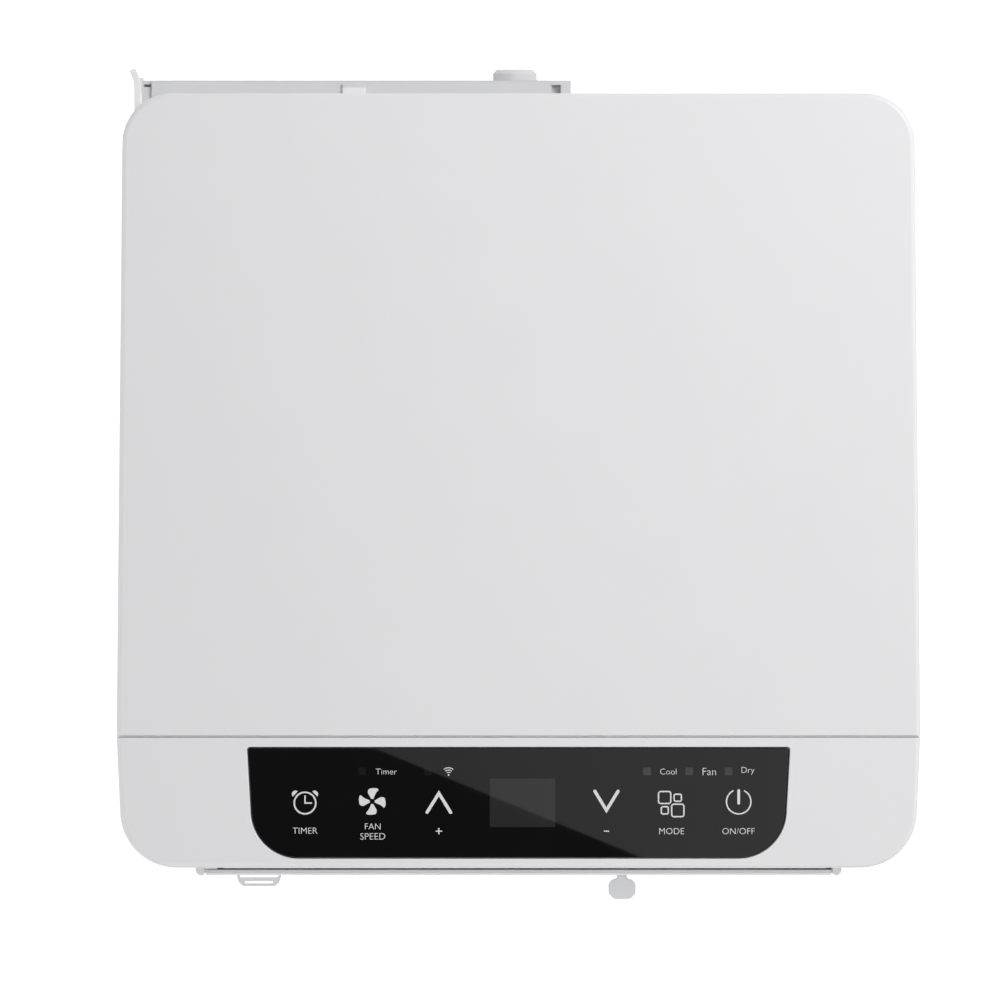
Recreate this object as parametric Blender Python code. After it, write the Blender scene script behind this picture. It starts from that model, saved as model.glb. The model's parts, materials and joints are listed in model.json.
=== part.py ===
"""Portable air conditioner: a tall cabinet on four casters.

World frame: the origin is on the floor under the middle of the top cover, +X is to the right of
someone facing the front, +Y is towards the back and +Z is up. Sizes are in millimetres and are
turned into metres when a mesh is written.
"""

import math

import bmesh
import bpy
from mathutils import Matrix, Vector

for old in list(bpy.data.objects):
    bpy.data.objects.remove(old, do_unlink=True)

MM = 0.001

# ---- driving sizes -------------------------------------------------------------------------
BODY_HEIGHT = 703.0
BODY_DEPTH = 342.0
BODY_WIDTH = 355.0
SEAM_WIDTH = BODY_WIDTH  # the cabinet is widest at the seam between cover and control panel
REAR_WIDTH = BODY_WIDTH - 5.0
FRONT_WIDTH = BODY_WIDTH - 3.0
REAR_CORNER_R = 22.0
FRONT_CORNER_R = 25.0
WALL = 3.0
GAP = 0.3  # between pieces that rest on or beside each other
WHEEL_R = 20.0
FLOOR_CLEARANCE = 2 * WHEEL_R + 6.0
BASE_HEIGHT = 30.0
CAP_HEIGHT = 28.0
CAP_FILLET = 2.4
SEAM_GAP = 0.7
SEAM_EDGE_SHARE = 0.12  # the seam's edges are much crisper than the outer edge
CONTROL_DEPTH = 58.0  # front face to seam
REAR_PANEL_DEPTH = 31.0

OUTLET_WIDTH = BODY_WIDTH - 77.2
OUTLET_HEIGHT = 86.0
OUTLET_RIM = 4.0
OUTLET_PROUD = 3.7
OUTLET_BELOW_CAP = 9.0
OUTLET_FRAME_DEPTH = 62.0
BLADE_THICKNESS = 2.4
BLADE_HEIGHT = 36.0
BLADE_EDGE_GAP = 2.0
VANE_COUNT = 8
VANE_PITCH = (OUTLET_WIDTH - 33.0) / VANE_COUNT
VANE_DEPTH = 34.0
VANE_THICKNESS = 1.8
KNOB_VANE = 6

PANEL_WIDTH = BODY_WIDTH - 116.0
PANEL_DEPTH = 48.6
PANEL_CORNER_R = 21.0
PANEL_TAPER = 1.5  # how much further in each side is at its front end
PANEL_FROM_SEAM = 5.0
GLASS = 2.7

EXHAUST_FRAME_WIDTH = 192.2
EXHAUST_FRAME_HEIGHT = 170.0
EXHAUST_FRAME_DEPTH = 8.2
EXHAUST_CENTRE_X = -BODY_WIDTH / 2 + 105.0
EXHAUST_WIDTH = 158.0
EXHAUST_HEIGHT = 140.0

FILTER_WIDTH = BODY_WIDTH - 95.0
FILTER_DEPTH = 8.0
COIL_WIDTH = BODY_WIDTH - 75.0
COIL_DEPTH = 26.0
CASTER_INSET_X = 47.5
CASTER_INSET_Y = 46.0
WHEEL_WIDTH = 17.0
CASTER_TRAIL = 11.0
ROUND = 32  # sides of the larger round pieces
SMALL_ROUND = 16

# ---- places worked out from them -----------------------------------------------------------
FRONT = -BODY_DEPTH / 2
REAR = BODY_DEPTH / 2
SEAM_Y = FRONT + CONTROL_DEPTH
REAR_SPLIT_Y = REAR - REAR_PANEL_DEPTH
BASE_BOTTOM = FLOOR_CLEARANCE
BASE_TOP = BASE_BOTTOM + BASE_HEIGHT
CAP_BOTTOM = BODY_HEIGHT - CAP_HEIGHT
PANEL_BOTTOM = BASE_TOP + GAP
PANEL_TOP = CAP_BOTTOM - GAP
INNER_X = FRONT_WIDTH / 2 - WALL
TRAY_Z = BASE_TOP + 0.598 * (CAP_BOTTOM - BASE_TOP)
OUTLET_TOP = CAP_BOTTOM - OUTLET_BELOW_CAP
OUTLET_BOTTOM = OUTLET_TOP - OUTLET_HEIGHT
OUTLET_MID_Z = (OUTLET_TOP + OUTLET_BOTTOM) / 2
OUTLET_REAR_Y = FRONT - OUTLET_PROUD + OUTLET_FRAME_DEPTH
FRAME_HALF = OUTLET_WIDTH / 2 + OUTLET_RIM


# ---- mesh helpers --------------------------------------------------------------------------
def material(name, colour, roughness, metallic=0.0, alpha=1.0):
    made = bpy.data.materials.new(name)
    made.use_nodes = True
    shader = made.node_tree.nodes["Principled BSDF"]
    shader.inputs["Base Color"].default_value = (*colour, 1.0)
    shader.inputs["Roughness"].default_value = roughness
    shader.inputs["Metallic"].default_value = metallic
    shader.inputs["Alpha"].default_value = alpha
    made.diffuse_color = (*colour, 1.0)
    return made


CABINET = material("cabinet_plastic", (0.80, 0.80, 0.81), 0.42)
TRIM = material("trim_plastic", (0.74, 0.74, 0.75), 0.45)
GLASS_BLACK = material("panel_glass", (0.012, 0.012, 0.013), 0.08)
DARK = material("dark_plastic", (0.05, 0.05, 0.055), 0.55)
BOARD = material("circuit_board", (0.03, 0.16, 0.07), 0.5)
DUCT = material("foam_duct", (0.62, 0.62, 0.60), 0.8)
COIL = material("coil_fins", (0.78, 0.79, 0.80), 0.35, 0.9)
COPPER = material("copper_pipe", (0.72, 0.38, 0.22), 0.3, 1.0)
STEEL = material("painted_steel", (0.03, 0.03, 0.035), 0.4)
MOTOR = material("motor_steel", (0.55, 0.56, 0.58), 0.35, 0.9)
RUBBER = material("wheel_rubber", (0.06, 0.06, 0.065), 0.7)


def finish(bm, name, surface, pivot=(0.0, 0.0, 0.0)):
    """Write a mesh built in millimetres as an object whose origin is at pivot."""
    bmesh.ops.remove_doubles(bm, verts=bm.verts, dist=0.0005)
    bmesh.ops.recalc_face_normals(bm, faces=bm.faces)
    bm.transform(Matrix.Scale(MM, 4) @ Matrix.Translation(-Vector(pivot)))
    mesh = bpy.data.meshes.new(name)
    bm.to_mesh(mesh)
    bm.free()
    made = bpy.data.objects.new(name, mesh)
    made.location = Vector(pivot) * MM
    bpy.context.scene.collection.objects.link(made)
    if surface is not None:
        mesh.materials.append(surface)
    return made


def smooth_by_angle(made, degrees=35.0):
    """Shade the round faces smooth and keep the corners sharp."""
    mesh = made.data
    for face in mesh.polygons:
        face.use_smooth = True
    bm = bmesh.new()
    bm.from_mesh(mesh)
    for edge in bm.edges:
        if len(edge.link_faces) == 2:
            edge.smooth = edge.calc_face_angle(0.0) < math.radians(degrees)
    bm.to_mesh(mesh)
    bm.free()
    return made


def add_loft(bm, rings):
    """Add a closed body through rings of equal point count, with flat ends."""
    count = len(rings[0])
    levels = [[bm.verts.new(point) for point in ring] for ring in rings]
    for low, high in zip(levels, levels[1:]):
        for i in range(count):
            j = (i + 1) % count
            bm.faces.new((low[i], low[j], high[j], high[i]))
    bm.faces.new(levels[0][::-1])
    bm.faces.new(levels[-1])


def to_axis(axis, u, v, w):
    """A point with w along the named axis and (u, v) across it."""
    return {"x": (w, u, v), "y": (v, w, u), "z": (u, v, w)}[axis]


def add_prism(bm, points, axis, low, high):
    """Add an outline pushed from low to high; (u, v) are (y, z), (z, x) or (x, y)."""
    add_loft(bm, [[to_axis(axis, u, v, w) for u, v in points] for w in (low, high)])


def circle(radius, count, u=0.0, v=0.0):
    """Points on a circle, with a flat side at the bottom for a wheel on the floor."""
    step = 2 * math.pi / count
    return [
        (u + radius * math.cos(step * (i + 0.5)), v + radius * math.sin(step * (i + 0.5)))
        for i in range(count)
    ]


def add_box(bm, x, y, z):
    add_prism(bm, [(x[0], y[0]), (x[1], y[0]), (x[1], y[1]), (x[0], y[1])], "z", *z)


def add_round(bm, axis, centre, profile, count):
    """Add a turned body; profile is (radius, place along the axis), from low to high."""
    u, v = centre
    add_loft(bm, [[to_axis(axis, p, q, w) for p, q in circle(r, count, u, v)] for r, w in profile])


def box(name, x, y, z, surface=None, pivot=(0, 0, 0)):
    bm = bmesh.new()
    add_box(bm, x, y, z)
    return finish(bm, name, surface, pivot)


def prism(name, points, axis, low, high, surface=None, pivot=(0, 0, 0)):
    bm = bmesh.new()
    add_prism(bm, points, axis, low, high)
    return finish(bm, name, surface, pivot)


def turned(name, axis, centre, profile, surface=None, pivot=(0, 0, 0), count=ROUND):
    bm = bmesh.new()
    add_round(bm, axis, centre, profile, count)
    return smooth_by_angle(finish(bm, name, surface, pivot))


def ring_of_boxes(name, boxes):
    """A helper made of several separate boxes, each ((x), (y), (z))."""
    bm = bmesh.new()
    for x, y, z in boxes:
        add_box(bm, x, y, z)
    return finish(bm, name, None)


def combine(made, operation, helper):
    """Join a helper to a piece, or cut it away, and keep the helper out of the render."""
    step = made.modifiers.new(helper.name, "BOOLEAN")
    step.operation = operation
    step.solver = "EXACT"
    step.object = helper
    helper.hide_render = True
    helper.hide_viewport = True
    helper.display_type = "WIRE"


def join(made, *helpers):
    for helper in helpers:
        combine(made, "UNION", helper)
    return made


def cut(made, *helpers):
    for helper in helpers:
        combine(made, "DIFFERENCE", helper)
    return made


def arc(centre, radius, start, end, steps=11):
    turn = [math.radians(start + (end - start) * i / steps) for i in range(steps + 1)]
    return [(centre[0] + radius * math.cos(a), centre[1] + radius * math.sin(a)) for a in turn]


def pipe(name, corners, radius, surface, bend=14.0, sides=8):
    """A round pipe through corner points, with each bend rounded."""
    path = [Vector(corners[0])]
    for before, corner, after in zip(corners, corners[1:], corners[2:]):
        before, corner, after = Vector(before), Vector(corner), Vector(after)
        back = (before - corner).normalized() * bend
        ahead = (after - corner).normalized() * bend
        for i in range(4):
            t = i / 3
            a = corner + back * (1 - t)
            b = corner + ahead * t
            path.append(a.lerp(b, t))
    path.append(Vector(corners[-1]))
    bm = bmesh.new()
    rings = []
    side = None
    for i, point in enumerate(path):
        along = (path[min(i + 1, len(path) - 1)] - path[max(i - 1, 0)]).normalized()
        if side is None:
            side = along.orthogonal().normalized()
        side = (side - along * side.dot(along)).normalized()
        other = along.cross(side)
        ring = []
        for k in range(sides):
            a = 2 * math.pi * k / sides
            ring.append(point + (side * math.cos(a) + other * math.sin(a)) * radius)
        rings.append(ring)
    add_loft(bm, rings)
    return smooth_by_angle(finish(bm, name, surface), 50.0)


# ---- the cabinet's outline -----------------------------------------------------------------
def side_x(y):
    """Half the cabinet's width at a distance y from its middle."""
    corner_y = FRONT + FRONT_CORNER_R
    if y < SEAM_Y:
        share = (y - corner_y) / (SEAM_Y - corner_y)
        return (FRONT_WIDTH + share * (SEAM_WIDTH - FRONT_WIDTH)) / 2
    share = (y - SEAM_Y) / (REAR - REAR_CORNER_R - SEAM_Y)
    return (SEAM_WIDTH + share * (REAR_WIDTH - SEAM_WIDTH)) / 2


def front_run(inset, y_end):
    """The outline from the left side, round the front, to the right side."""
    radius = FRONT_CORNER_R - inset
    x = FRONT_WIDTH / 2 - FRONT_CORNER_R
    y = FRONT + FRONT_CORNER_R
    run = [(-side_x(y_end) + inset, y_end)]
    run += arc((-x, y), radius, 180, 270)
    run += arc((x, y), radius, 270, 360)
    return run + [(side_x(y_end) - inset, y_end)]


def rear_run(inset, y_start):
    """The outline from the right side, round the back, to the left side."""
    radius = REAR_CORNER_R - inset
    x = REAR_WIDTH / 2 - REAR_CORNER_R
    y = REAR - REAR_CORNER_R
    run = [(side_x(y_start) - inset, y_start)]
    run += arc((x, y), radius, 0, 90)
    run += arc((-x, y), radius, 90, 180)
    return run + [(-side_x(y_start) + inset, y_start)]


def cap_profile():
    """Pairs of inset and height that round the top edge of the cap."""
    pairs = [(0.0, CAP_BOTTOM), (0.0, BODY_HEIGHT - CAP_FILLET)]
    for degrees in (30, 60, 90):
        a = math.radians(degrees)
        inset = CAP_FILLET * (1 - math.cos(a))
        pairs.append((inset, BODY_HEIGHT - CAP_FILLET * (1 - math.sin(a))))
    return pairs


# ---- top: cover, control panel, glass and board --------------------------------------------
cover_front = SEAM_Y + SEAM_GAP / 2
bezel_rear = SEAM_Y - SEAM_GAP / 2

bm = bmesh.new()
rings = [(rear_run(i, cover_front + SEAM_EDGE_SHARE * i), z) for i, z in cap_profile()]
add_loft(bm, [[(x, y, z) for x, y in outline] for outline, z in rings])
top_cover = smooth_by_angle(finish(bm, "top_cover", CABINET))
cut(
    top_cover,
    prism("cover_hollow", rear_run(WALL, cover_front + WALL), "z", CAP_BOTTOM - 5, BODY_HEIGHT - WALL),
)

panel_rear = SEAM_Y - PANEL_FROM_SEAM
panel_front = panel_rear - PANEL_DEPTH


def panel_outline(grow):
    """Square corners behind, round corners in front."""
    half = PANEL_WIDTH / 2
    x = half - PANEL_TAPER - PANEL_CORNER_R
    y = panel_front + PANEL_CORNER_R
    radius = PANEL_CORNER_R + grow
    run = [(-half - grow, panel_rear + grow)]
    run += arc((-x, y), radius, 180, 270, 8)
    run += arc((x, y), radius, 270, 360, 8)
    return run + [(half + grow, panel_rear + grow)]


bm = bmesh.new()
rings = [(front_run(i, bezel_rear - SEAM_EDGE_SHARE * i), z) for i, z in cap_profile()]
add_loft(bm, [[(x, y, z) for x, y in outline] for outline, z in rings])
control_bezel = smooth_by_angle(finish(bm, "control_bezel", CABINET))
bezel_skin = 6.0
glass_bottom = BODY_HEIGHT - GLASS - 0.1
board_half_x = PANEL_WIDTH / 2 - 15
board_y = (panel_front + 4, panel_rear - 4)
board_top = BODY_HEIGHT - bezel_skin - 5
bezel_inside = front_run(WALL, bezel_rear - WALL)
cut(
    control_bezel,
    prism("bezel_hollow", bezel_inside, "z", CAP_BOTTOM - 5, BODY_HEIGHT - bezel_skin),
    prism("glass_pocket", panel_outline(GAP), "z", glass_bottom - GAP, BODY_HEIGHT + 5),
    box(
        "sensor_window",
        (-board_half_x + 12, board_half_x - 12),
        (panel_front + 14, panel_rear - 10),
        (BODY_HEIGHT - bezel_skin - 5, BODY_HEIGHT),
    ),
)
bm = bmesh.new()
for side in (-1, 1):
    for y in board_y:
        post_y = y + (4 if y == board_y[0] else -4)
        add_round(
            bm,
            "z",
            (side * (board_half_x - 5), post_y),
            [(3, board_top + GAP), (3, BODY_HEIGHT - bezel_skin + 1)],
            8,
        )
join(control_bezel, finish(bm, "board_posts", None))
touch_panel = prism("touch_panel", panel_outline(0), "z", glass_bottom, BODY_HEIGHT - 0.1, GLASS_BLACK)

control_board = box(
    "control_board", (-board_half_x, board_half_x), board_y, (board_top - 1.6, board_top), BOARD
)
bm = bmesh.new()
display_y = (panel_front + panel_rear) / 2
add_box(bm, (-17, 17), (display_y - 9, display_y + 8), (board_top - 1, BODY_HEIGHT - bezel_skin + 2))
for x in (-72, -42, 42, 72):
    add_box(bm, (x - 6, x + 6), (display_y - 6, display_y + 6), (board_top - 1, board_top + 3))
add_box(bm, (-98, -82), (display_y - 5, display_y + 5), (board_top - 9, board_top - 1))
join(control_board, finish(bm, "board_parts", None))

# ---- cabinet panels ------------------------------------------------------------------------
shell_y = SEAM_Y - GAP
shell_points = front_run(0, shell_y) + front_run(WALL, shell_y)[::-1]
front_shell = smooth_by_angle(
    prism("front_shell", shell_points, "z", PANEL_BOTTOM, PANEL_TOP, CABINET)
)
cut(
    front_shell,
    box(
        "outlet_hole",
        (-FRAME_HALF - GAP, FRAME_HALF + GAP),
        (FRONT - 20, FRONT + 20),
        (OUTLET_BOTTOM - OUTLET_RIM - GAP, OUTLET_TOP + OUTLET_RIM + GAP),
    ),
)

GRIP_LENGTH = 110.0
GRIP_HEIGHT = 34.0
GRIP_DEPTH = 17.0
GRIP_WALL = 2.4
GRIP_Z = OUTLET_BOTTOM - 6
GRIP_Y = 20.0
side_y = (SEAM_Y + GAP / 2, REAR_SPLIT_Y)


def side_panel(name, side):
    run = [(side_x(y), y) for y in side_y]
    run += [(side_x(y) - WALL, y) for y in reversed(side_y)]
    made = prism(name, [(side * x, y) for x, y in run], "z", PANEL_BOTTOM, PANEL_TOP, CABINET)
    outer = side_x(GRIP_Y)
    y = (GRIP_Y - GRIP_LENGTH / 2, GRIP_Y + GRIP_LENGTH / 2)
    z = (GRIP_Z - GRIP_HEIGHT / 2, GRIP_Z + GRIP_HEIGHT / 2)

    def span(low, high):
        return (low, high) if side > 0 else (-high, -low)

    cup = box(
        name + "_cup",
        span(outer - GRIP_DEPTH - GRIP_WALL, outer - WALL / 2),
        (y[0] - GRIP_WALL, y[1] + GRIP_WALL),
        (z[0] - GRIP_WALL, z[1] + GRIP_WALL),
    )
    hollow = box(name + "_hollow", span(outer - GRIP_DEPTH, outer + 10), y, z)
    join(made, cup)
    return cut(made, hollow)


side_panel("left_side_panel", -1)
side_panel("right_side_panel", 1)

rear_y = REAR_SPLIT_Y + GAP
rear_points = rear_run(0, rear_y) + rear_run(WALL, rear_y)[::-1]
rear_panel = smooth_by_angle(
    prism("rear_panel", rear_points, "z", PANEL_BOTTOM, PANEL_TOP, CABINET)
)

exhaust_frame_top = TRAY_Z + 4
exhaust_frame_bottom = exhaust_frame_top - EXHAUST_FRAME_HEIGHT
exhaust_mid_z = (exhaust_frame_top + exhaust_frame_bottom) / 2
exhaust_x = (EXHAUST_CENTRE_X - EXHAUST_WIDTH / 2, EXHAUST_CENTRE_X + EXHAUST_WIDTH / 2)
exhaust_z = (exhaust_mid_z - EXHAUST_HEIGHT / 2, exhaust_mid_z + EXHAUST_HEIGHT / 2)
DRAIN_X = -1.5
DRAIN_CAP_R = 10.0
drain_z = exhaust_frame_bottom - DRAIN_CAP_R - 6
upper_filter_z = (exhaust_frame_top + 32, PANEL_TOP - 34)
lower_filter_z = (BASE_TOP + 6, drain_z - DRAIN_CAP_R - 9)
GLAND_X = REAR_WIDTH / 2 - 35.0
gland_z = BASE_TOP + 26
GLAND_R = 9.0
hook_x = -REAR_WIDTH / 2 + 5.4
HOOK_THICKNESS = 2.8
HOOK_HEIGHT = 26.0
hook_levels = (exhaust_frame_bottom - 70, exhaust_frame_top + 110)


def filter_hole(name, z):
    half = FILTER_WIDTH / 2 + GAP
    return box(name, (-half, half), (REAR - 20, REAR + 5), (z[0] - GAP, z[1] + GAP))


cut(
    rear_panel,
    filter_hole("upper_filter_hole", upper_filter_z),
    filter_hole("lower_filter_hole", lower_filter_z),
    box("exhaust_hole", exhaust_x, (REAR - 20, REAR + 5), exhaust_z),
    turned("drain_hole", "y", (drain_z, DRAIN_X), [(6.3, REAR - 20), (6.3, REAR + 5)], count=SMALL_ROUND),
    turned("gland_hole", "y", (gland_z, GLAND_X), [(7.3, REAR - 20), (7.3, REAR + 5)], count=SMALL_ROUND),
    ring_of_boxes(
        "hook_slots",
        [
            (
                (hook_x - HOOK_THICKNESS / 2 - GAP, hook_x + HOOK_THICKNESS / 2 + GAP),
                (REAR - REAR_CORNER_R, REAR + 5),
                (z - HOOK_HEIGHT / 2 - GAP, z + HOOK_HEIGHT / 2 + GAP),
            )
            for z in hook_levels
        ],
    ),
)

# ---- base pan, wheel wells and sockets -----------------------------------------------------
BASE_CHAMFER = 3.0
WELL_R = 27.0
WELL_DEPTH = 6.0
BOSS_R = 30.0
STEM_R = 4.0
SOCKET_TOP = BASE_BOTTOM + 17
caster_x = SEAM_WIDTH / 2 - CASTER_INSET_X
caster_y = BODY_DEPTH / 2 - CASTER_INSET_Y
casters = {
    "front_left": (-caster_x, -caster_y),
    "front_right": (caster_x, -caster_y),
    "rear_left": (-caster_x, caster_y),
    "rear_right": (caster_x, caster_y),
}


def full_outline(inset):
    return front_run(inset, SEAM_Y)[:-1] + rear_run(inset, SEAM_Y)[:-1]


bm = bmesh.new()
base_rings = ((BASE_CHAMFER, BASE_BOTTOM), (0, BASE_BOTTOM + BASE_CHAMFER), (0, BASE_TOP))
add_loft(bm, [[(x, y, z) for x, y in full_outline(i)] for i, z in base_rings])
base_pan = smooth_by_angle(finish(bm, "base_pan", TRIM))
cut(base_pan, prism("base_hollow", full_outline(WALL), "z", BASE_BOTTOM + WALL, BASE_TOP + 5))
bm = bmesh.new()
for x, y in casters.values():
    add_round(bm, "z", (x, y), [(BOSS_R, BASE_BOTTOM + 1), (BOSS_R, SOCKET_TOP + 3)], 16)
join(base_pan, finish(bm, "caster_bosses", None))
bm = bmesh.new()
for x, y in casters.values():
    well = [(WELL_R, BASE_BOTTOM - 5), (WELL_R, BASE_BOTTOM + WELL_DEPTH)]
    socket = [(STEM_R + GAP, BASE_BOTTOM + WELL_DEPTH), (STEM_R + GAP, SOCKET_TOP)]
    add_round(bm, "z", (x, y), well + socket, 16)
cut(
    base_pan,
    finish(bm, "caster_wells", None),
    turned(
        "base_drain_hole",
        "y",
        (BASE_BOTTOM + 14, 62),
        [(5.3, REAR - 20), (5.3, REAR + 5)],
        count=SMALL_ROUND,
    ),
)

# ---- casters -------------------------------------------------------------------------------
FORK_TOP = BASE_BOTTOM + WELL_DEPTH - GAP
WHEEL_SIDES = 28
TREAD_R = WHEEL_R / math.cos(math.pi / WHEEL_SIDES)  # so that a flat of the tread is on the floor
for corner, (x, y) in casters.items():
    axle_y = y + CASTER_TRAIL
    pivot = (x, y, FORK_TOP)
    fork = turned(
        "caster_fork_" + corner, "z", (x, y), [(13, FORK_TOP - 5), (13, FORK_TOP)], TRIM, pivot, 24
    )
    bm = bmesh.new()
    add_round(bm, "z", (x, y), [(STEM_R, FORK_TOP - 2), (STEM_R, SOCKET_TOP - GAP)], 12)
    join(fork, finish(bm, "stem_" + corner, None))
    half = WHEEL_WIDTH / 2
    cheek = [(y - 10, FORK_TOP - 1), (y - 8, WHEEL_R - 1), (axle_y - 3, WHEEL_R - 6)]
    cheek += [(axle_y + 5, WHEEL_R - 4), (axle_y + 6, WHEEL_R + 3), (y + 11, FORK_TOP - 1)]
    bm = bmesh.new()
    for side in (-1, 1):
        near, far = sorted((x + side * (half + 0.8), x + side * (half + 3.4)))
        add_prism(bm, cheek, "x", near, far)
    join(fork, finish(bm, "cheeks_" + corner, None))
    bm = bmesh.new()
    add_round(bm, "x", (axle_y, WHEEL_R), [(2.5, x - half - 2), (2.5, x + half + 2)], 12)
    join(fork, finish(bm, "axle_" + corner, None))
    axle = (x, axle_y, WHEEL_R)
    tread = [(TREAD_R - 2, x - half), (TREAD_R, x - half + 2)]
    tread += [(TREAD_R, x + half - 2), (TREAD_R - 2, x + half)]
    wheel = turned(
        "caster_wheel_" + corner, "x", (axle_y, WHEEL_R), tread, RUBBER, axle, WHEEL_SIDES
    )
    bm = bmesh.new()
    add_round(bm, "x", (axle_y, WHEEL_R), [(2.8, x - half - 5), (2.8, x + half + 5)], 12)
    cut(wheel, finish(bm, "axle_hole_" + corner, None))

# ---- front outlet: frame, tilting blades, swinging vanes -----------------------------------
frame_front = FRONT - OUTLET_PROUD
frame_x = (-FRAME_HALF, FRAME_HALF)
frame_z = (OUTLET_BOTTOM - OUTLET_RIM, OUTLET_TOP + OUTLET_RIM)
mouth_x = (-OUTLET_WIDTH / 2, OUTLET_WIDTH / 2)
mouth_z = (OUTLET_BOTTOM, OUTLET_TOP)
outlet_frame = box("outlet_frame", frame_x, (FRONT, OUTLET_REAR_Y), frame_z, TRIM)
bm = bmesh.new()
for side in (-1, 1):
    edge = side * (FRAME_HALF - OUTLET_RIM)
    out = side * FRAME_HALF
    lip = [
        (edge, FRONT + 2),
        (edge, frame_front + 0.8),
        (edge + side * 0.8, frame_front),
        (out - side * 1.6, frame_front),
        (out, frame_front + 1.6),
        (out, FRONT + 2),
    ]
    add_prism(bm, lip if side < 0 else lip[::-1], "z", *frame_z)
join(outlet_frame, finish(bm, "outlet_cheeks", None))
BLADE_AXIS_Y = FRONT + 1.0
PIN_R = 1.8
blade_axis_z = (
    OUTLET_TOP - BLADE_EDGE_GAP - BLADE_HEIGHT / 2,
    OUTLET_BOTTOM + BLADE_EDGE_GAP + BLADE_HEIGHT / 2,
)
VANE_AXIS_Y = frame_front + 39.0
vane_x = [(i - (VANE_COUNT - 1) / 2) * VANE_PITCH for i in range(VANE_COUNT)]
cut(outlet_frame, box("outlet_mouth", mouth_x, (FRONT - 20, OUTLET_REAR_Y + 5), mouth_z))
bm = bmesh.new()
for z in blade_axis_z:
    reach = OUTLET_WIDTH / 2 + 2.8
    add_round(bm, "x", (BLADE_AXIS_Y, z), [(PIN_R + GAP, -reach), (PIN_R + GAP, reach)], 12)
for x in vane_x:
    reach = (OUTLET_BOTTOM - 2.8, OUTLET_TOP + 2.8)
    add_round(bm, "z", (x, VANE_AXIS_Y), [(1.5 + GAP, reach[0]), (1.5 + GAP, reach[1])], 10)
cut(outlet_frame, finish(bm, "outlet_pin_holes", None))

blade_front = frame_front + 0.1
blade_rear = blade_front + BLADE_THICKNESS
LINK_ARM = 9.5
arm_angle = math.radians(-37.5)
arm_offset = (LINK_ARM * math.cos(arm_angle), LINK_ARM * math.sin(arm_angle))
blade_left = mouth_x[0] + 0.4
blade_right = mouth_x[1] - 0.4
notch_x = blade_left + 5.2


def blade(name, axis_z):
    low = axis_z - BLADE_HEIGHT / 2
    high = axis_z + BLADE_HEIGHT / 2
    outline = [
        (low, notch_x),
        (low, blade_right),
        (high, blade_right),
        (high, blade_left),
        (axis_z + 4, blade_left),
        (axis_z + 4, notch_x),
    ]
    pivot = (0, BLADE_AXIS_Y, axis_z)
    bm = bmesh.new()
    slim = 0.7
    rings = []
    for y, inset in ((blade_front, slim), (blade_front + slim, 0), (blade_rear, 0)):
        ring = []
        for z, x in outline:
            z_in = inset if z == low else -inset if z == high else 0
            ring.append((x, y, z + z_in))
        rings.append(ring)
    add_loft(bm, rings)
    made = finish(bm, name, TRIM, pivot)
    ear = [
        (BLADE_AXIS_Y + 2.6, axis_z + 2.4),
        (blade_rear - 1, axis_z + 4),
        (blade_rear - 1, axis_z - 9),
        (BLADE_AXIS_Y + arm_offset[0] - 1.5, axis_z + arm_offset[1] - 2.4),
        (BLADE_AXIS_Y + arm_offset[0] + 2.4, axis_z + arm_offset[1] - 0.5),
    ]
    bm = bmesh.new()
    add_prism(bm, ear, "x", notch_x, notch_x + 2)
    add_prism(bm, ear, "x", blade_right - 2, blade_right)
    join(made, finish(bm, name + "_ears", None))
    reach = OUTLET_WIDTH / 2 + 2.4
    bm = bmesh.new()
    add_round(bm, "x", (BLADE_AXIS_Y, axis_z), [(PIN_R, -reach), (PIN_R, notch_x + 1)], 12)
    add_round(bm, "x", (BLADE_AXIS_Y, axis_z), [(PIN_R, blade_right - 1), (PIN_R, reach)], 12)
    arm = (BLADE_AXIS_Y + arm_offset[0], axis_z + arm_offset[1])
    add_round(bm, "x", arm, [(1.2, notch_x - 4.2), (1.2, notch_x + 1)], 10)
    join(made, finish(bm, name + "_pins", None))
    return made


louver_upper = blade("louver_upper", blade_axis_z[0])
louver_lower = blade("louver_lower", blade_axis_z[1])

TAB_X = -OUTLET_WIDTH / 2 + 24.0
TAB_WIDTH = 19.6
TAB_OUT = 4.9
TAB_THICKNESS = 2.4
tab_z = blade_axis_z[0] + 11
tab_half = TAB_WIDTH / 2
tab_tip = blade_front - TAB_OUT
tab_outline = [
    (TAB_X - tab_half, blade_front + 1),
    (TAB_X - tab_half, blade_front - 0.9),
    (TAB_X - tab_half + 0.9, tab_tip + 1.5),
    (TAB_X - tab_half + 2.9, tab_tip),
    (TAB_X + tab_half - 2.9, tab_tip),
    (TAB_X + tab_half - 0.9, tab_tip + 1.5),
    (TAB_X + tab_half, blade_front - 0.9),
    (TAB_X + tab_half, blade_front + 1),
]
tab_levels = (tab_z - TAB_THICKNESS / 2, tab_z + TAB_THICKNESS / 2)
tab = prism("finger_tab", tab_outline, "z", *tab_levels)
join(louver_upper, tab)
cut(
    louver_upper,
    ring_of_boxes(
        "tab_slots",
        [
            (
                (TAB_X - tab_half + 1.5, TAB_X + tab_half - 1.5),
                (blade_front - 1.0, blade_front - 0.1),
                (tab_z - 5, tab_z + 5),
            ),
            (
                (TAB_X - 6.2, TAB_X + 6.2),
                (tab_tip + 1.2, tab_tip + 2.2),
                (tab_z - 5, tab_z + 5),
            ),
        ],
    ),
)

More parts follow.
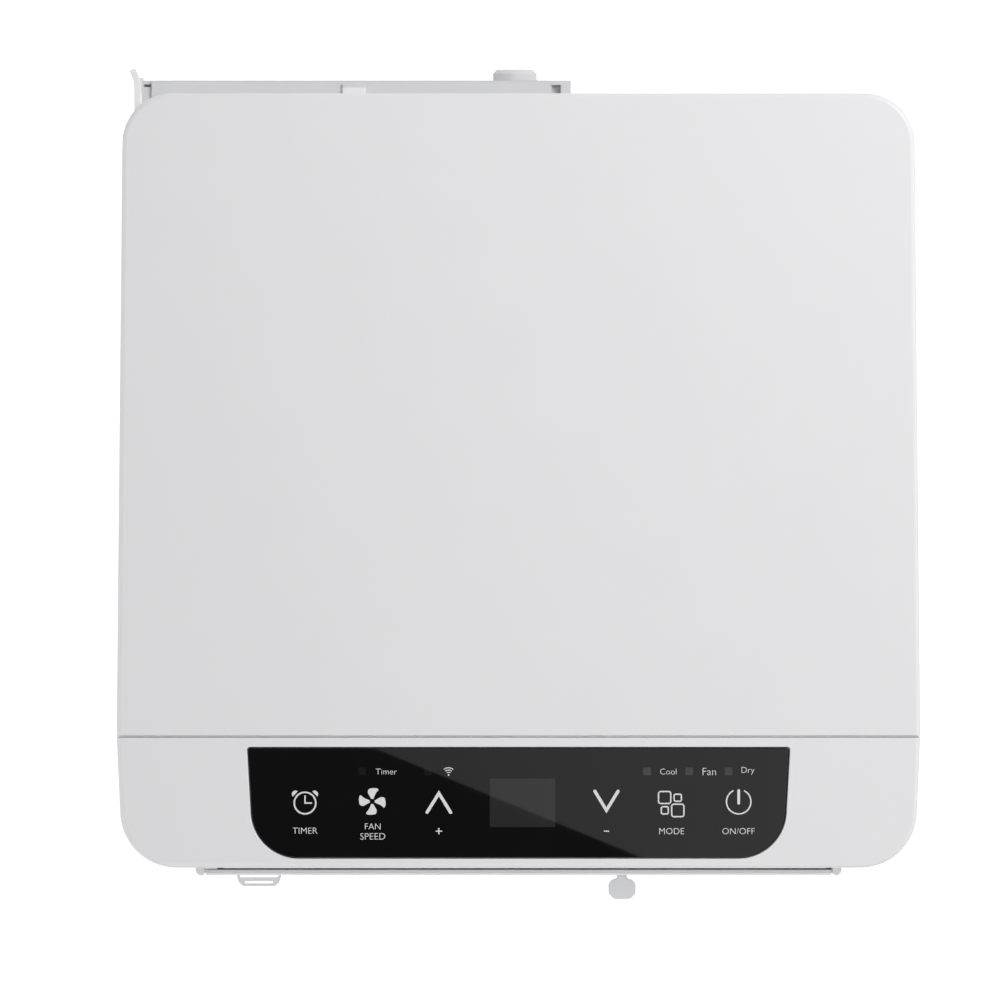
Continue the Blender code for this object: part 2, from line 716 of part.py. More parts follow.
link_x = (notch_x - 3.4, notch_x - 1.0)
link_y = BLADE_AXIS_Y + arm_offset[0]
link_z = (blade_axis_z[1] + arm_offset[1], blade_axis_z[0] + arm_offset[1])
link_outline = [
    (link_y - 2.8, link_z[0] - 1.4),
    (link_y - 1.4, link_z[0] - 2.8),
    (link_y + 1.4, link_z[0] - 2.8),
    (link_y + 2.8, link_z[0] - 1.4),
    (link_y + 2.8, link_z[1] + 1.4),
    (link_y + 1.4, link_z[1] + 2.8),
    (link_y - 1.4, link_z[1] + 2.8),
    (link_y - 2.8, link_z[1] + 1.4),
]
louver_link = prism("louver_link", link_outline, "x", *link_x, DARK, (0, link_y, link_z[1]))
bm = bmesh.new()
for z in link_z:
    add_round(bm, "x", (link_y, z), [(1.5, link_x[0] - 3), (1.5, link_x[1] + 3)], 10)
cut(louver_link, finish(bm, "louver_link_holes", None))

VANE_PIN_ARM = 13.0
vane_z = (OUTLET_BOTTOM + 2, OUTLET_TOP - 11)
vane_y = (VANE_AXIS_Y - VANE_DEPTH / 2, VANE_AXIS_Y + VANE_DEPTH / 2)
LINK_BAR = 2.6
for i, x in enumerate(vane_x):
    name = "vane_%d" % (i + 1)
    half = VANE_THICKNESS / 2
    section = [
        (x - 0.4, vane_y[0]),
        (x + 0.4, vane_y[0]),
        (x + half, vane_y[0] + 4),
        (x + half, vane_y[1] - 4),
        (x + 0.4, vane_y[1]),
        (x - 0.4, vane_y[1]),
        (x - half, vane_y[1] - 4),
        (x - half, vane_y[0] + 4),
    ]
    vane = prism(name, section, "z", *vane_z, DARK, (x, VANE_AXIS_Y, OUTLET_MID_Z))
    bm = bmesh.new()
    pins = ((OUTLET_BOTTOM - 2.4, vane_z[0] + 2), (vane_z[1] - 2, OUTLET_TOP + 2.4))
    for low, high in pins:
        add_round(bm, "z", (x, VANE_AXIS_Y), [(1.5, low), (1.5, high)], 8)
    arm_pin = (vane_z[1] - 2, vane_z[1] + LINK_BAR + 1.2)
    add_round(bm, "z", (x, VANE_AXIS_Y + VANE_PIN_ARM), [(1.2, arm_pin[0]), (1.2, arm_pin[1])], 8)
    join(vane, finish(bm, name + "_pins", None))

knob_x = vane_x[KNOB_VANE - 1]
bar_y = VANE_AXIS_Y + VANE_PIN_ARM
vane_link = box(
    "vane_link",
    (vane_x[0] - 4, vane_x[-1] + 4),
    (bar_y - 3.2, bar_y + 3.2),
    (vane_z[1] + GAP, vane_z[1] + GAP + LINK_BAR),
    DARK,
    (knob_x, bar_y, vane_z[1]),
)
bm = bmesh.new()
for x in vane_x:
    add_round(bm, "z", (x, bar_y), [(1.5, vane_z[1] - 2), (1.5, vane_z[1] + LINK_BAR + 3)], 8)
cut(vane_link, finish(bm, "vane_link_holes", None))

KNOB_OUT = 10.9
KNOB_WIDTH = 12.0
KNOB_THICKNESS = 7.0
knob_tip = frame_front - KNOB_OUT
knob_half = KNOB_WIDTH / 2
knob_outline = [
    (knob_x - 2.2, vane_y[0] + 3),
    (knob_x - 2.2, frame_front - 1.6),
    (knob_x - 4.6, frame_front - 2.4),
    (knob_x - knob_half, frame_front - 4.2),
    (knob_x - knob_half, knob_tip + 2.4),
    (knob_x - knob_half + 2.4, knob_tip),
    (knob_x + knob_half - 2.4, knob_tip),
    (knob_x + knob_half, knob_tip + 2.4),
    (knob_x + knob_half, frame_front - 4.2),
    (knob_x + 4.6, frame_front - 2.4),
    (knob_x + 2.2, frame_front - 1.6),
    (knob_x + 2.2, vane_y[0] + 3),
]
knob_z = (OUTLET_MID_Z - KNOB_THICKNESS / 2, OUTLET_MID_Z + KNOB_THICKNESS / 2)
vane_knob = prism("vane_knob", knob_outline, "z", *knob_z, TRIM, (knob_x, VANE_AXIS_Y, OUTLET_MID_Z))
cut(
    vane_knob,
    box(
        "knob_clip_slot",
        (knob_x - VANE_THICKNESS / 2 - GAP, knob_x + VANE_THICKNESS / 2 + GAP),
        (vane_y[0] - GAP, vane_y[0] + 10),
        (knob_z[0] - 5, knob_z[1] + 5),
    ),
)

# ---- blowers -------------------------------------------------------------------------------
DUCT_WALL = 3.0
BLOWER_COUNT = 14


def blower_wheel(name, x, z, y, radius, surface=DARK):
    """Squirrel-cage wheel: back plate with hub, blades and front ring, turning about Y."""
    low, high = y
    made = turned(
        name, "y", (z, x), [(radius, low), (radius, low + 2.5)], surface, (x, (low + high) / 2, z), 36
    )
    bm = bmesh.new()
    for i in range(BLOWER_COUNT):
        a = 2 * math.pi * i / BLOWER_COUNT
        out = Vector((math.cos(a), math.sin(a)))
        side = Vector((-out.y, out.x))
        tip = out * (radius - 1.5)
        root = out * (radius - 15) - side * 6
        thick = side * 0.8
        points = [root - thick, tip - thick, tip + thick, root + thick]
        add_prism(bm, [(z + p.y, x + p.x) for p in points], "y", low + 1, high - 1)
    join(made, finish(bm, name + "_blades", None))
    rim = turned(name + "_rim", "y", (z, x), [(radius, high - 4), (radius, high)], count=36)
    eye_profile = [(radius - 14, high - 9), (radius - 14, high + 5)]
    cut(rim, turned(name + "_eye", "y", (z, x), eye_profile, count=36))
    join(made, rim)
    hub = turned(name + "_hub", "y", (z, x), [(9, low + 1), (9, low + 26)], count=SMALL_ROUND)
    join(made, hub)
    return cut(
        made,
        turned(name + "_bore", "y", (z, x), [(4.3, low - 5), (4.3, high + 5)], count=12),
    )


def fan_motor(name, x, z, y, radius):
    """Motor can with a mounting flange and a shaft pointing to the back."""
    low, high = y
    profile = [(radius - 8, low), (radius - 2, low + 3), (radius, low + 8), (radius, high - 4)]
    profile += [(radius + 8, high - 4), (radius + 8, high), (4, high), (4, high + 24)]
    return turned(name, "y", (z, x), profile, MOTOR, count=24)


upper_zone = CAP_BOTTOM - TRAY_Z
upper_r = 0.415 * upper_zone
upper_x = 0.0
upper_z = TRAY_Z + 6 + upper_r
drum_y = (REAR - 130, REAR - 51)
duct_front = OUTLET_REAR_Y + GAP
duct_outer_z = (OUTLET_BOTTOM - DUCT_WALL, OUTLET_TOP + DUCT_WALL)
evaporator_scroll = box(
    "evaporator_scroll",
    (mouth_x[0] - DUCT_WALL, mouth_x[1] + DUCT_WALL),
    (duct_front, drum_y[1]),
    duct_outer_z,
    DUCT,
)
drum = turned("upper_drum", "y", (upper_z, upper_x), [(upper_r, drum_y[0]), (upper_r, drum_y[1])])
drum_hollow = turned(
    "upper_drum_hollow",
    "y",
    (upper_z, upper_x),
    [(upper_r - DUCT_WALL, drum_y[0] + DUCT_WALL), (upper_r - DUCT_WALL, drum_y[1] - DUCT_WALL)],
)
join(evaporator_scroll, drum)
cut(
    evaporator_scroll,
    box("upper_duct_hollow", mouth_x, (duct_front - 5, drum_y[1] - DUCT_WALL), mouth_z),
    drum_hollow,
    turned(
        "upper_eye",
        "y",
        (upper_z, upper_x),
        [(upper_r * 0.66, drum_y[1] - 10), (upper_r * 0.66, drum_y[1] + 5)],
    ),
    turned(
        "upper_shaft_hole",
        "y",
        (upper_z, upper_x),
        [(9, drum_y[0] - 5), (9, drum_y[0] + 10)],
        count=SMALL_ROUND,
    ),
)
wheel_y = (drum_y[0] + DUCT_WALL + 2, drum_y[1] - DUCT_WALL - 2)
blower_wheel("evaporator_blower", upper_x, upper_z, wheel_y, upper_r * 0.84)
motor_r = min(34.0, OUTLET_BOTTOM - DUCT_WALL - upper_z - 9)
fan_motor("evaporator_motor", upper_x, upper_z, (drum_y[0] - 68, drum_y[0] - GAP), motor_r)

lower_zone = exhaust_z[0] - BASE_BOTTOM - WALL
lower_r = 0.43 * lower_zone
lower_x = 45.0
lower_z = BASE_BOTTOM + WALL + 20 + lower_r
duct_x = (exhaust_x[0] - DUCT_WALL, exhaust_x[1] + DUCT_WALL)
duct_z = (exhaust_z[0] - DUCT_WALL, exhaust_z[1] + DUCT_WALL)
duct_rear = REAR - WALL - GAP
throat_x = (lower_x - lower_r, duct_x[1])
condenser_scroll = box("condenser_scroll", duct_x, (drum_y[0], duct_rear), duct_z, DUCT)
join(
    condenser_scroll,
    turned("lower_drum", "y", (lower_z, lower_x), [(lower_r, drum_y[0]), (lower_r, drum_y[1])]),
    box("throat", throat_x, drum_y, (lower_z, duct_z[0] + 10)),
)
cut(
    condenser_scroll,
    box("exhaust_duct_hollow", exhaust_x, (drum_y[0] + DUCT_WALL, duct_rear + 5), exhaust_z),
    turned(
        "lower_drum_hollow",
        "y",
        (lower_z, lower_x),
        [(lower_r - DUCT_WALL, drum_y[0] + DUCT_WALL), (lower_r - DUCT_WALL, drum_y[1] - DUCT_WALL)],
    ),
    box(
        "throat_hollow",
        (throat_x[0] + DUCT_WALL, throat_x[1] - DUCT_WALL),
        (drum_y[0] + DUCT_WALL, drum_y[1] - DUCT_WALL),
        (lower_z, exhaust_z[0] + 5),
    ),
    turned(
        "lower_eye",
        "y",
        (lower_z, lower_x),
        [(lower_r * 0.66, drum_y[1] - 10), (lower_r * 0.66, drum_y[1] + 5)],
    ),
    turned(
        "lower_shaft_hole",
        "y",
        (lower_z, lower_x),
        [(9, drum_y[0] - 5), (9, drum_y[0] + 10)],
        count=SMALL_ROUND,
    ),
)
blower_wheel("condenser_blower", lower_x, lower_z, wheel_y, lower_r * 0.84)
fan_motor("condenser_motor", lower_x, lower_z, (drum_y[0] - 68, drum_y[0] - GAP), 38.0)

# ---- coils and drain tray ------------------------------------------------------------------
coil_y = (REAR - 45, REAR - 45 + COIL_DEPTH)


def heat_coil(name, z):
    """Finned block between end plates, with return bends at the right end."""
    half = COIL_WIDTH / 2
    made = box(name, (-half, half), coil_y, z, COIL)
    plates = ring_of_boxes(
        name + "_plates",
        [
            ((x - 1, x + 1), (coil_y[0] - 1.5, coil_y[1] + 1.5), (z[0], z[1] + 2))
            for x in (-half, half)
        ],
    )
    join(made, plates)
    bm = bmesh.new()
    pitch = (z[1] - z[0]) / 6
    middle = (coil_y[0] + coil_y[1]) / 2
    for i in range(6):
        level = z[0] + pitch * (i + 0.5)
        bend = arc((half - 2, level), pitch * 0.3, -90, 90, 6)
        inner = arc((half - 2, level), pitch * 0.3 - 5, 90, -90, 6)
        add_prism(bm, [(p[1], p[0]) for p in bend + inner], "y", middle - 3, middle + 3)
    join(made, finish(bm, name + "_bends", None))
    return made


TRAY_WALL = 14.0
TRAY_FLOOR = 2.5
evaporator_z = (TRAY_Z + TRAY_FLOOR + GAP, OUTLET_TOP - 2)
condenser_z = (SOCKET_TOP + 3 + GAP, exhaust_z[0] - DUCT_WALL - 12)
heat_coil("evaporator_coil", evaporator_z)
heat_coil("condenser_coil", condenser_z)

tray_half = min(FRONT_WIDTH, REAR_WIDTH) / 2 - WALL - 1.0
tray_front = FRONT + 30
tray_rear = REAR - WALL - 7.0


def tray_outline(inset):
    """A rectangle with its rear corners cut off to clear the cabinet's round corners."""
    x, y0, y1 = tray_half - inset, tray_front + inset, tray_rear - inset
    return [(-x, y0), (x, y0), (x, y1 - 13), (x - 13, y1), (-x + 13, y1), (-x, y1 - 13)]


drain_tray = prism("drain_tray", tray_outline(0), "z", TRAY_Z, TRAY_Z + TRAY_WALL, DUCT)
PIPE_R = 4.5
pipe_side_x = -tray_half + 11
pipe_front_y = drum_y[0] - 18
shallow = prism(
    "tray_hollow", tray_outline(2.5), "z", TRAY_Z + TRAY_FLOOR, TRAY_Z + TRAY_WALL + 5
)
pipe_hole = turned(
    "tray_pipe_hole",
    "z",
    (pipe_side_x, pipe_front_y),
    [(PIPE_R + 1.5, TRAY_Z - 5), (PIPE_R + 1.5, TRAY_Z + 10)],
    count=SMALL_ROUND,
)
cut(drain_tray, shallow, pipe_hole)

# ---- compressor and pipes ------------------------------------------------------------------
comp_x = -86.0
comp_y = drum_y[0] - 93
comp_r = 55.0
comp_z = (BASE_BOTTOM + WALL + GAP, BASE_BOTTOM + WALL + GAP + 0.62 * (TRAY_Z - BASE_BOTTOM))
body_profile = [(comp_r - 22, comp_z[0] + 8), (comp_r - 6, comp_z[0] + 14), (comp_r, comp_z[0] + 26)]
body_profile += [(comp_r, comp_z[1] - 26), (comp_r - 6, comp_z[1] - 12), (comp_r - 24, comp_z[1] - 2)]
body_profile += [(8, comp_z[1])]
compressor = turned("compressor", "z", (comp_x, comp_y), body_profile, STEEL)
foot = [(comp_x + p, comp_y + q) for p, q in circle(comp_r + 4, 3)]
join(
    compressor,
    prism("compressor_foot", foot, "z", comp_z[0], comp_z[0] + 10),
    box(
        "terminal_box",
        (comp_x - 14, comp_x + 14),
        (comp_y + 8, comp_y + 30),
        (comp_z[1] - 24, comp_z[1] + 6),
    ),
)
acc_x = comp_x + comp_r + 30
acc_y = comp_y - 42
ACC_R = 22.0
acc_z = (comp_z[0] + 26, comp_z[1] - 44)
acc_profile = [(8, acc_z[0]), (ACC_R, acc_z[0] + 12), (ACC_R, acc_z[1] - 12), (8, acc_z[1])]
turned("accumulator", "z", (acc_x, acc_y), acc_profile, STEEL, count=20)

coil_left = -COIL_WIDTH / 2 - 1 - GAP
coil_mid_y = (coil_y[0] + coil_y[1]) / 2
DISCHARGE_R = 3.2
discharge_z = comp_z[1] + 22
pipe(
    "discharge_pipe",
    [
        (comp_x, comp_y, comp_z[1] + GAP),
        (comp_x, comp_y, discharge_z),
        (pipe_side_x, comp_y, discharge_z),
        (pipe_side_x, comp_y, condenser_z[1] - 40),
        (pipe_side_x, coil_mid_y, condenser_z[1] - 40),
        (coil_left, coil_mid_y, condenser_z[1] - 40),
    ],
    DISCHARGE_R,
    COPPER,
    8.0,
)
suction_z = discharge_z + 26
pipe(
    "suction_pipe",
    [
        (coil_left, coil_mid_y, evaporator_z[0] + 34),
        (pipe_side_x, coil_mid_y, evaporator_z[0] + 34),
        (pipe_side_x, pipe_front_y, evaporator_z[0] + 34),
        (pipe_side_x, pipe_front_y, suction_z),
        (acc_x, pipe_front_y, suction_z),
        (acc_x, acc_y, suction_z),
        (acc_x, acc_y, acc_z[1] + GAP),
    ],
    PIPE_R,
    COPPER,
    9.0,
)

# ---- electrical box and capacitor ----------------------------------------------------------
ebox_x = (FRONT_WIDTH / 2 - 84, FRONT_WIDTH / 2 - 16)
ebox_y = (FRONT + 26, FRONT + 106)
ebox_z = (BASE_TOP + 30, BASE_TOP + 190)
electrical_box = box("electrical_box", ebox_x, ebox_y, ebox_z, MOTOR)
cut(
    electrical_box,
    box(
        "electrical_box_hollow",
        (ebox_x[0] + 1.5, ebox_x[1] - 1.5),
        (ebox_y[0] - 5, ebox_y[1] - 1.5),
        (ebox_z[0] + 1.5, ebox_z[1] - 1.5),
    ),
)
cap_centre = ((ebox_x[0] + ebox_x[1]) / 2, (ebox_y[0] + ebox_y[1]) / 2)
cap_z = (ebox_z[0] + 1.5 + GAP, ebox_z[0] + 90)
cap_profile_points = [(20, cap_z[0]), (20, cap_z[1] - 4), (17, cap_z[1])]
turned("capacitor", "z", cap_centre, cap_profile_points, MOTOR, count=24)

# ---- rear: filters, exhaust, drain, cord hooks and gland -----------------------------------
GRILLE_BORDER = 10.0
SLAT_PITCH = 17.0


def grille(name, z):
    """Pull-out frame with sloping slats, flush with the back of the cabinet."""
    half = FILTER_WIDTH / 2
    y = (REAR - FILTER_DEPTH, REAR)
    middle = ((y[0] + y[1]) / 2, (z[0] + z[1]) / 2)
    made = box(name, (-half, half), y, z, CABINET, (0, middle[0], middle[1]))
    inner_x = (-half + GRILLE_BORDER, half - GRILLE_BORDER)
    inner_z = (z[0] + GRILLE_BORDER, z[1] - GRILLE_BORDER)
    cut(made, box(name + "_mouth", inner_x, (y[0] - 5, y[1] + 5), inner_z))
    count = max(3, int((inner_z[1] - inner_z[0]) / SLAT_PITCH))
    pitch = (inner_z[1] - inner_z[0]) / count
    bm = bmesh.new()
    for i in range(count):
        level = inner_z[0] + pitch * (i + 0.5)
        low, high = level - 2.6, level + 2.6
        section = [(y[0] + 1, high - 1.4), (y[0] + 1, high), (y[1] - 0.8, low + 1.4), (y[1] - 0.8, low)]
        add_prism(bm, section, "x", inner_x[0] - 1, inner_x[1] + 1)
    join(made, finish(bm, name + "_slats", None))
    posts = ring_of_boxes(
        name + "_posts",
        [
            ((x - 1.6, x + 1.6), (y[0] + 0.3, y[0] + 3.4), (inner_z[0] - 1, inner_z[1] + 1))
            for x in (-half / 3, half / 3)
        ],
    )
    return join(made, posts)


def filter_screen(name, z):
    """Thin frame with a coarse lattice that carries the dust mesh behind the grille."""
    half = FILTER_WIDTH / 2 - 4
    y = (REAR - FILTER_DEPTH - 3.0, REAR - FILTER_DEPTH - GAP)
    low, high = z[0] + 4, z[1] - 4
    made = box(name, (-half, half), y, (low, high), DARK, (0, (y[0] + y[1]) / 2, (low + high) / 2))
    boxes = []
    columns, rows = 5, 3
    bar = 2.4
    wide = (2 * half - bar) / columns
    tall = (high - low - bar) / rows
    for i in range(columns):
        for j in range(rows):
            x0 = -half + bar + i * wide
            z0 = low + bar + j * tall
            boxes.append(((x0, x0 + wide - bar), (y[0] - 5, y[1] + 5), (z0, z0 + tall - bar)))
    return cut(made, ring_of_boxes(name + "_cells", boxes))


grille("upper_grille", upper_filter_z)
grille("lower_grille", lower_filter_z)
filter_screen("upper_filter", upper_filter_z)
filter_screen("lower_filter", lower_filter_z)

ef_x = (EXHAUST_CENTRE_X - EXHAUST_FRAME_WIDTH / 2, EXHAUST_CENTRE_X + EXHAUST_FRAME_WIDTH / 2)
ef_y = (REAR + GAP, REAR + GAP + EXHAUST_FRAME_DEPTH)
ef_z = (exhaust_frame_bottom, exhaust_frame_top)
COVER_PLATE = 1.8
COVER_FLANGE = 1.5  # the cover's top bar, which rests over its groove
POCKET_DEPTH = 3.0
RECESS_DEPTH = 4.5
groove_y = (ef_y[1] - 1.4 - COVER_PLATE - 2 * GAP, ef_y[1] - 1.4)
plate_x = (ef_x[0] + 4.4, ef_x[1] - 9.2)
plate_z = (ef_z[0] + 8, ef_z[1] - 0.6)
exhaust_frame = box("exhaust_frame", ef_x, ef_y, ef_z, TRIM)
corner_centre = (-REAR_WIDTH / 2 + REAR_CORNER_R, REAR - REAR_CORNER_R)
corner_reach = math.degrees(math.acos((ef_x[0] + 0.01 - corner_centre[0]) / (REAR_CORNER_R + GAP)))
cheek_plan = arc(corner_centre, REAR_CORNER_R + GAP, 96, corner_reach, 5)
cheek_plan += [(ef_x[0] + 0.01, ef_y[0] + 1), (cheek_plan[0][0], ef_y[0] + 1)]
join(exhaust_frame, prism("corner_cheek", cheek_plan[::-1], "z", ef_z[0] + 0.01, ef_z[1] - 0.01))
cut(
    exhaust_frame,
    box("exhaust_mouth", exhaust_x, (ef_y[0] - 5, ef_y[1] + 5), exhaust_z),
    box(
        "cover_groove",
        (plate_x[0] - GAP, plate_x[1] + GAP),
        groove_y,
        (plate_z[0] - GAP, ef_z[1] + 5),
    ),
    box(
        "groove_end_pocket",
        (ef_x[0] + 0.8, ef_x[0] + 3.9),
        (groove_y[1] - 1.6, groove_y[1] - 0.4),
        (ef_z[1] - POCKET_DEPTH, ef_z[1] + 5),
    ),
    box(
        "latch_recess",
        (ef_x[1] - 8.6, ef_x[1] - 4.6),
        (ef_y[0] + 0.8, groove_y[1] - 0.6),
        (ef_z[1] - RECESS_DEPTH, ef_z[1] + 5),
    ),
)
cover_pivot = (EXHAUST_CENTRE_X, (groove_y[0] + groove_y[1]) / 2, exhaust_mid_z)
plate_y = (groove_y[0] + GAP, groove_y[1] - GAP)
exhaust_cover = box("exhaust_cover", plate_x, plate_y, plate_z, CABINET, cover_pivot)
PULL_X = -73.7
flange_z = (ef_z[1] + GAP, ef_z[1] + GAP + COVER_FLANGE)
join(
    exhaust_cover,
    box("flange_neck", plate_x, plate_y, (plate_z[1] - 1, flange_z[0] + 0.5)),
    box(
        "cover_flange",
        (plate_x[0] - 0.2, plate_x[1] + 0.2),
        (ef_y[0] + 0.5, groove_y[1] + 0.9),
        flange_z,
    ),
    box("cover_stem", (PULL_X - 5, PULL_X + 5), plate_y, (plate_z[1] - 2, ef_z[1] + 3.8)),
    box(
        "cover_pull",
        (PULL_X - 5, PULL_X + 5),
        (REAR + GAP, plate_y[1] - 0.4),
        (ef_z[1] + GAP, ef_z[1] + 3.6),
    ),
)

drain_spout = turned(
    "drain_spout",
    "y",
    (drain_z, DRAIN_X),
    [
        (6.0, REAR - 16),
        (6.0, REAR + GAP),
        (8.4, REAR + GAP),
        (8.4, REAR + 2),
        (5.6, REAR + 2),
        (5.6, REAR + 12),
    ],
    TRIM,
    count=20,
)
cut(
    drain_spout,
    turned("spout_bore", "y", (drain_z, DRAIN_X), [(4, REAR - 25), (4, REAR + 20)], count=16),
)
cap_front = REAR + 2 + GAP
cap_rear = REAR + 15.4
cap_shape = [(DRAIN_CAP_R - 0.6, cap_front), (DRAIN_CAP_R, cap_front + 0.6)]
cap_shape += [(DRAIN_CAP_R, cap_rear - 1.8), (DRAIN_CAP_R - 1.8, cap_rear)]
drain_cap = turned(
    "drain_cap", "y", (drain_z, DRAIN_X), cap_shape, CABINET, (DRAIN_X, cap_front, drain_z), 24
)
cut(
    drain_cap,
    turned(
        "drain_cap_hollow", "y", (drain_z, DRAIN_X), [(5.9, REAR - 5), (5.9, REAR + 12.4)], count=20
    ),
)
plug_z = BASE_BOTTOM + 14
plug_profile = [(5.0, REAR - 12), (5.0, REAR + GAP), (8.5, REAR + GAP), (8.5, REAR + 3), (7, REAR + 4.5)]
turned("base_drain_plug", "y", (plug_z, 62), plug_profile, TRIM, (62, REAR, plug_z), 20)

gland = turned(
    "cord_gland",
    "y",
    (gland_z, GLAND_X),
    [(7.0, REAR - 12), (7.0, REAR + GAP), (GLAND_R, REAR + GAP), (GLAND_R, REAR + 3)],
    DARK,
    count=20,
)
cut(gland, turned("cord_hole", "y", (gland_z, GLAND_X), [(4.2, REAR - 25), (4.2, REAR + 15)], count=16))


def cord_hook(name, z):
    """S-shaped strip that passes through the back wall, with a foot inside."""
    x, half = hook_x, HOOK_THICKNESS / 2
    middle = [(x, REAR - 18), (x, REAR - 3.6), (x - 0.1, REAR + 5), (x - 0.6, REAR + 8)]
    middle += [(x - 1.4, REAR + 10), (x - 2.3, REAR + 12)]
    left, right = [], []
    for i, (px, py) in enumerate(middle):
        before = Vector(middle[max(i - 1, 0)])
        after = Vector(middle[min(i + 1, len(middle) - 1)])
        along = (after - before).normalized()
        across = Vector((-along.y, along.x)) * half
        left.append((px + across.x, py + across.y))
        right.append((px - across.x, py - across.y))
    low, high = z - HOOK_HEIGHT / 2, z + HOOK_HEIGHT / 2
    made = prism(name, left + right[::-1], "z", low, high, TRIM)
    return join(made, box(name + "_foot", (x, x + 14), (REAR - 19.5, REAR - 17), (low, high)))


for label, level in zip(("lower", "upper"), hook_levels):
    cord_hook("cord_hook_" + label, level)
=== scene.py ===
"""Looks of the portable air conditioner: finishes, fine edges, legends, weave, fins and casters."""

import json
import math

import bmesh
import bpy
from mathutils import Matrix, Vector

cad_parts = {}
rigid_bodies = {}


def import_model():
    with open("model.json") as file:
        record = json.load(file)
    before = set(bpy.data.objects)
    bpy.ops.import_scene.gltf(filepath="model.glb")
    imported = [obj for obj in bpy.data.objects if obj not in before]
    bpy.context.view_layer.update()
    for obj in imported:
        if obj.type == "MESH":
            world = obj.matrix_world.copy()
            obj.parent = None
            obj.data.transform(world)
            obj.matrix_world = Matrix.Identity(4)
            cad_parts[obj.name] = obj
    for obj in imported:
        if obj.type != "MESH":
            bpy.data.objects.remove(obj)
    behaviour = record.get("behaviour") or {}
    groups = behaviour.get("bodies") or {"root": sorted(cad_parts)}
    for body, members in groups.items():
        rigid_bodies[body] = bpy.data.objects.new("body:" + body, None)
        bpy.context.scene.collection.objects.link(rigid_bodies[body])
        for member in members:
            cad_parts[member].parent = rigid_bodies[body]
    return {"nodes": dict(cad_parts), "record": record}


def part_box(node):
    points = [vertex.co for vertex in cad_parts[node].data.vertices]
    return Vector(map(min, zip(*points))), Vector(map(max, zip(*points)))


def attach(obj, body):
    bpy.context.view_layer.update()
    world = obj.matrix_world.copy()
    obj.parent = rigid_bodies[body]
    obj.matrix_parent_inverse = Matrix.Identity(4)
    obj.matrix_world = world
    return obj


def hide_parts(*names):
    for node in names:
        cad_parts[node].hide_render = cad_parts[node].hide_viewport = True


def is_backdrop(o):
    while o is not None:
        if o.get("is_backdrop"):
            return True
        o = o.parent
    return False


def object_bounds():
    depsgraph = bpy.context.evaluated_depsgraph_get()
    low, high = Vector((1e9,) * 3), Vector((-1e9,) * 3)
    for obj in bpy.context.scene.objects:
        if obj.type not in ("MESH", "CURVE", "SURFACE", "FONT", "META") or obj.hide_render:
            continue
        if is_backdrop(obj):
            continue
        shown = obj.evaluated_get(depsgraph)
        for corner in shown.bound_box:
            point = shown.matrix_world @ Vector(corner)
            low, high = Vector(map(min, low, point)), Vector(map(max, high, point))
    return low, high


for old in list(bpy.data.objects):
    bpy.data.objects.remove(old, do_unlink=True)

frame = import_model()
nodes = frame["nodes"]
bpy.context.view_layer.update()
MM = 0.001

# ---- sizes in millimetres, the same as the CAD part's --------------------------------------
BODY_HEIGHT = 703.0
FRONT = -171.0
REAR = 171.0
SEAM_WIDTH = 355.0
REAR_WIDTH = 350.0
FRONT_WIDTH = 352.0
REAR_CORNER_R = 22.0
FRONT_CORNER_R = 25.0
CAP_BOTTOM = 675.0
CAP_FILLET = 2.4
WALL = 3.0
SEAM_Y = -113.0
SEAM_GAP = 0.7
SEAM_EDGE_SHARE = 0.12
LIP_BELOW = 0.9
GAP = 0.3
PANEL_WIDTH = 239.0
PANEL_DEPTH = 48.6
PANEL_CORNER_R = 21.0
PANEL_TAPER = 1.5
GLASS_TOP = 702.9
GLASS_THICK = 2.7


# ---- materials -----------------------------------------------------------------------------
def new_material(name):
    made = bpy.data.materials.new(name)
    made.use_nodes = True
    return made, made.node_tree, made.node_tree.nodes["Principled BSDF"]


def add_node(tree, kind, **settings):
    made = tree.nodes.new(kind)
    for key, value in settings.items():
        setattr(made, key, value)
    return made


def coordinates(tree, stretch=(1.0, 1.0, 1.0)):
    """Object coordinates, stretched along the axes."""
    place = add_node(tree, "ShaderNodeTexCoord")
    mapping = add_node(tree, "ShaderNodeMapping")
    mapping.inputs["Scale"].default_value = stretch
    tree.links.new(place.outputs["Object"], mapping.inputs["Vector"])
    return mapping.outputs["Vector"]


def noise(tree, vector, scale, detail=2.0, roughness=0.5):
    made = add_node(tree, "ShaderNodeTexNoise")
    made.inputs["Scale"].default_value = scale
    made.inputs["Detail"].default_value = detail
    made.inputs["Roughness"].default_value = roughness
    tree.links.new(vector, made.inputs["Vector"])
    return made.outputs["Fac"]


def ranged(tree, value, low, high, start=0.3, end=0.7):
    made = add_node(tree, "ShaderNodeMapRange")
    made.inputs["From Min"].default_value = start
    made.inputs["From Max"].default_value = end
    made.inputs["To Min"].default_value = low
    made.inputs["To Max"].default_value = high
    tree.links.new(value, made.inputs["Value"])
    return made.outputs["Result"]


def ramp(tree, value, stops):
    made = add_node(tree, "ShaderNodeValToRGB")
    band = made.color_ramp
    while len(band.elements) < len(stops):
        band.elements.new(0.5)
    for element, (place, colour) in zip(band.elements, stops):
        element.position = place
        element.color = (*colour, 1.0)
    tree.links.new(value, made.inputs["Fac"])
    return made.outputs["Color"]


def bump(tree, height, strength, distance, normal=None):
    made = add_node(tree, "ShaderNodeBump")
    made.inputs["Strength"].default_value = strength
    made.inputs["Distance"].default_value = distance
    tree.links.new(height, made.inputs["Height"])
    if normal is not None:
        tree.links.new(normal, made.inputs["Normal"])
    return made.outputs["Normal"]


def shade(colour, factor):
    return tuple(min(1.0, c * factor) for c in colour)


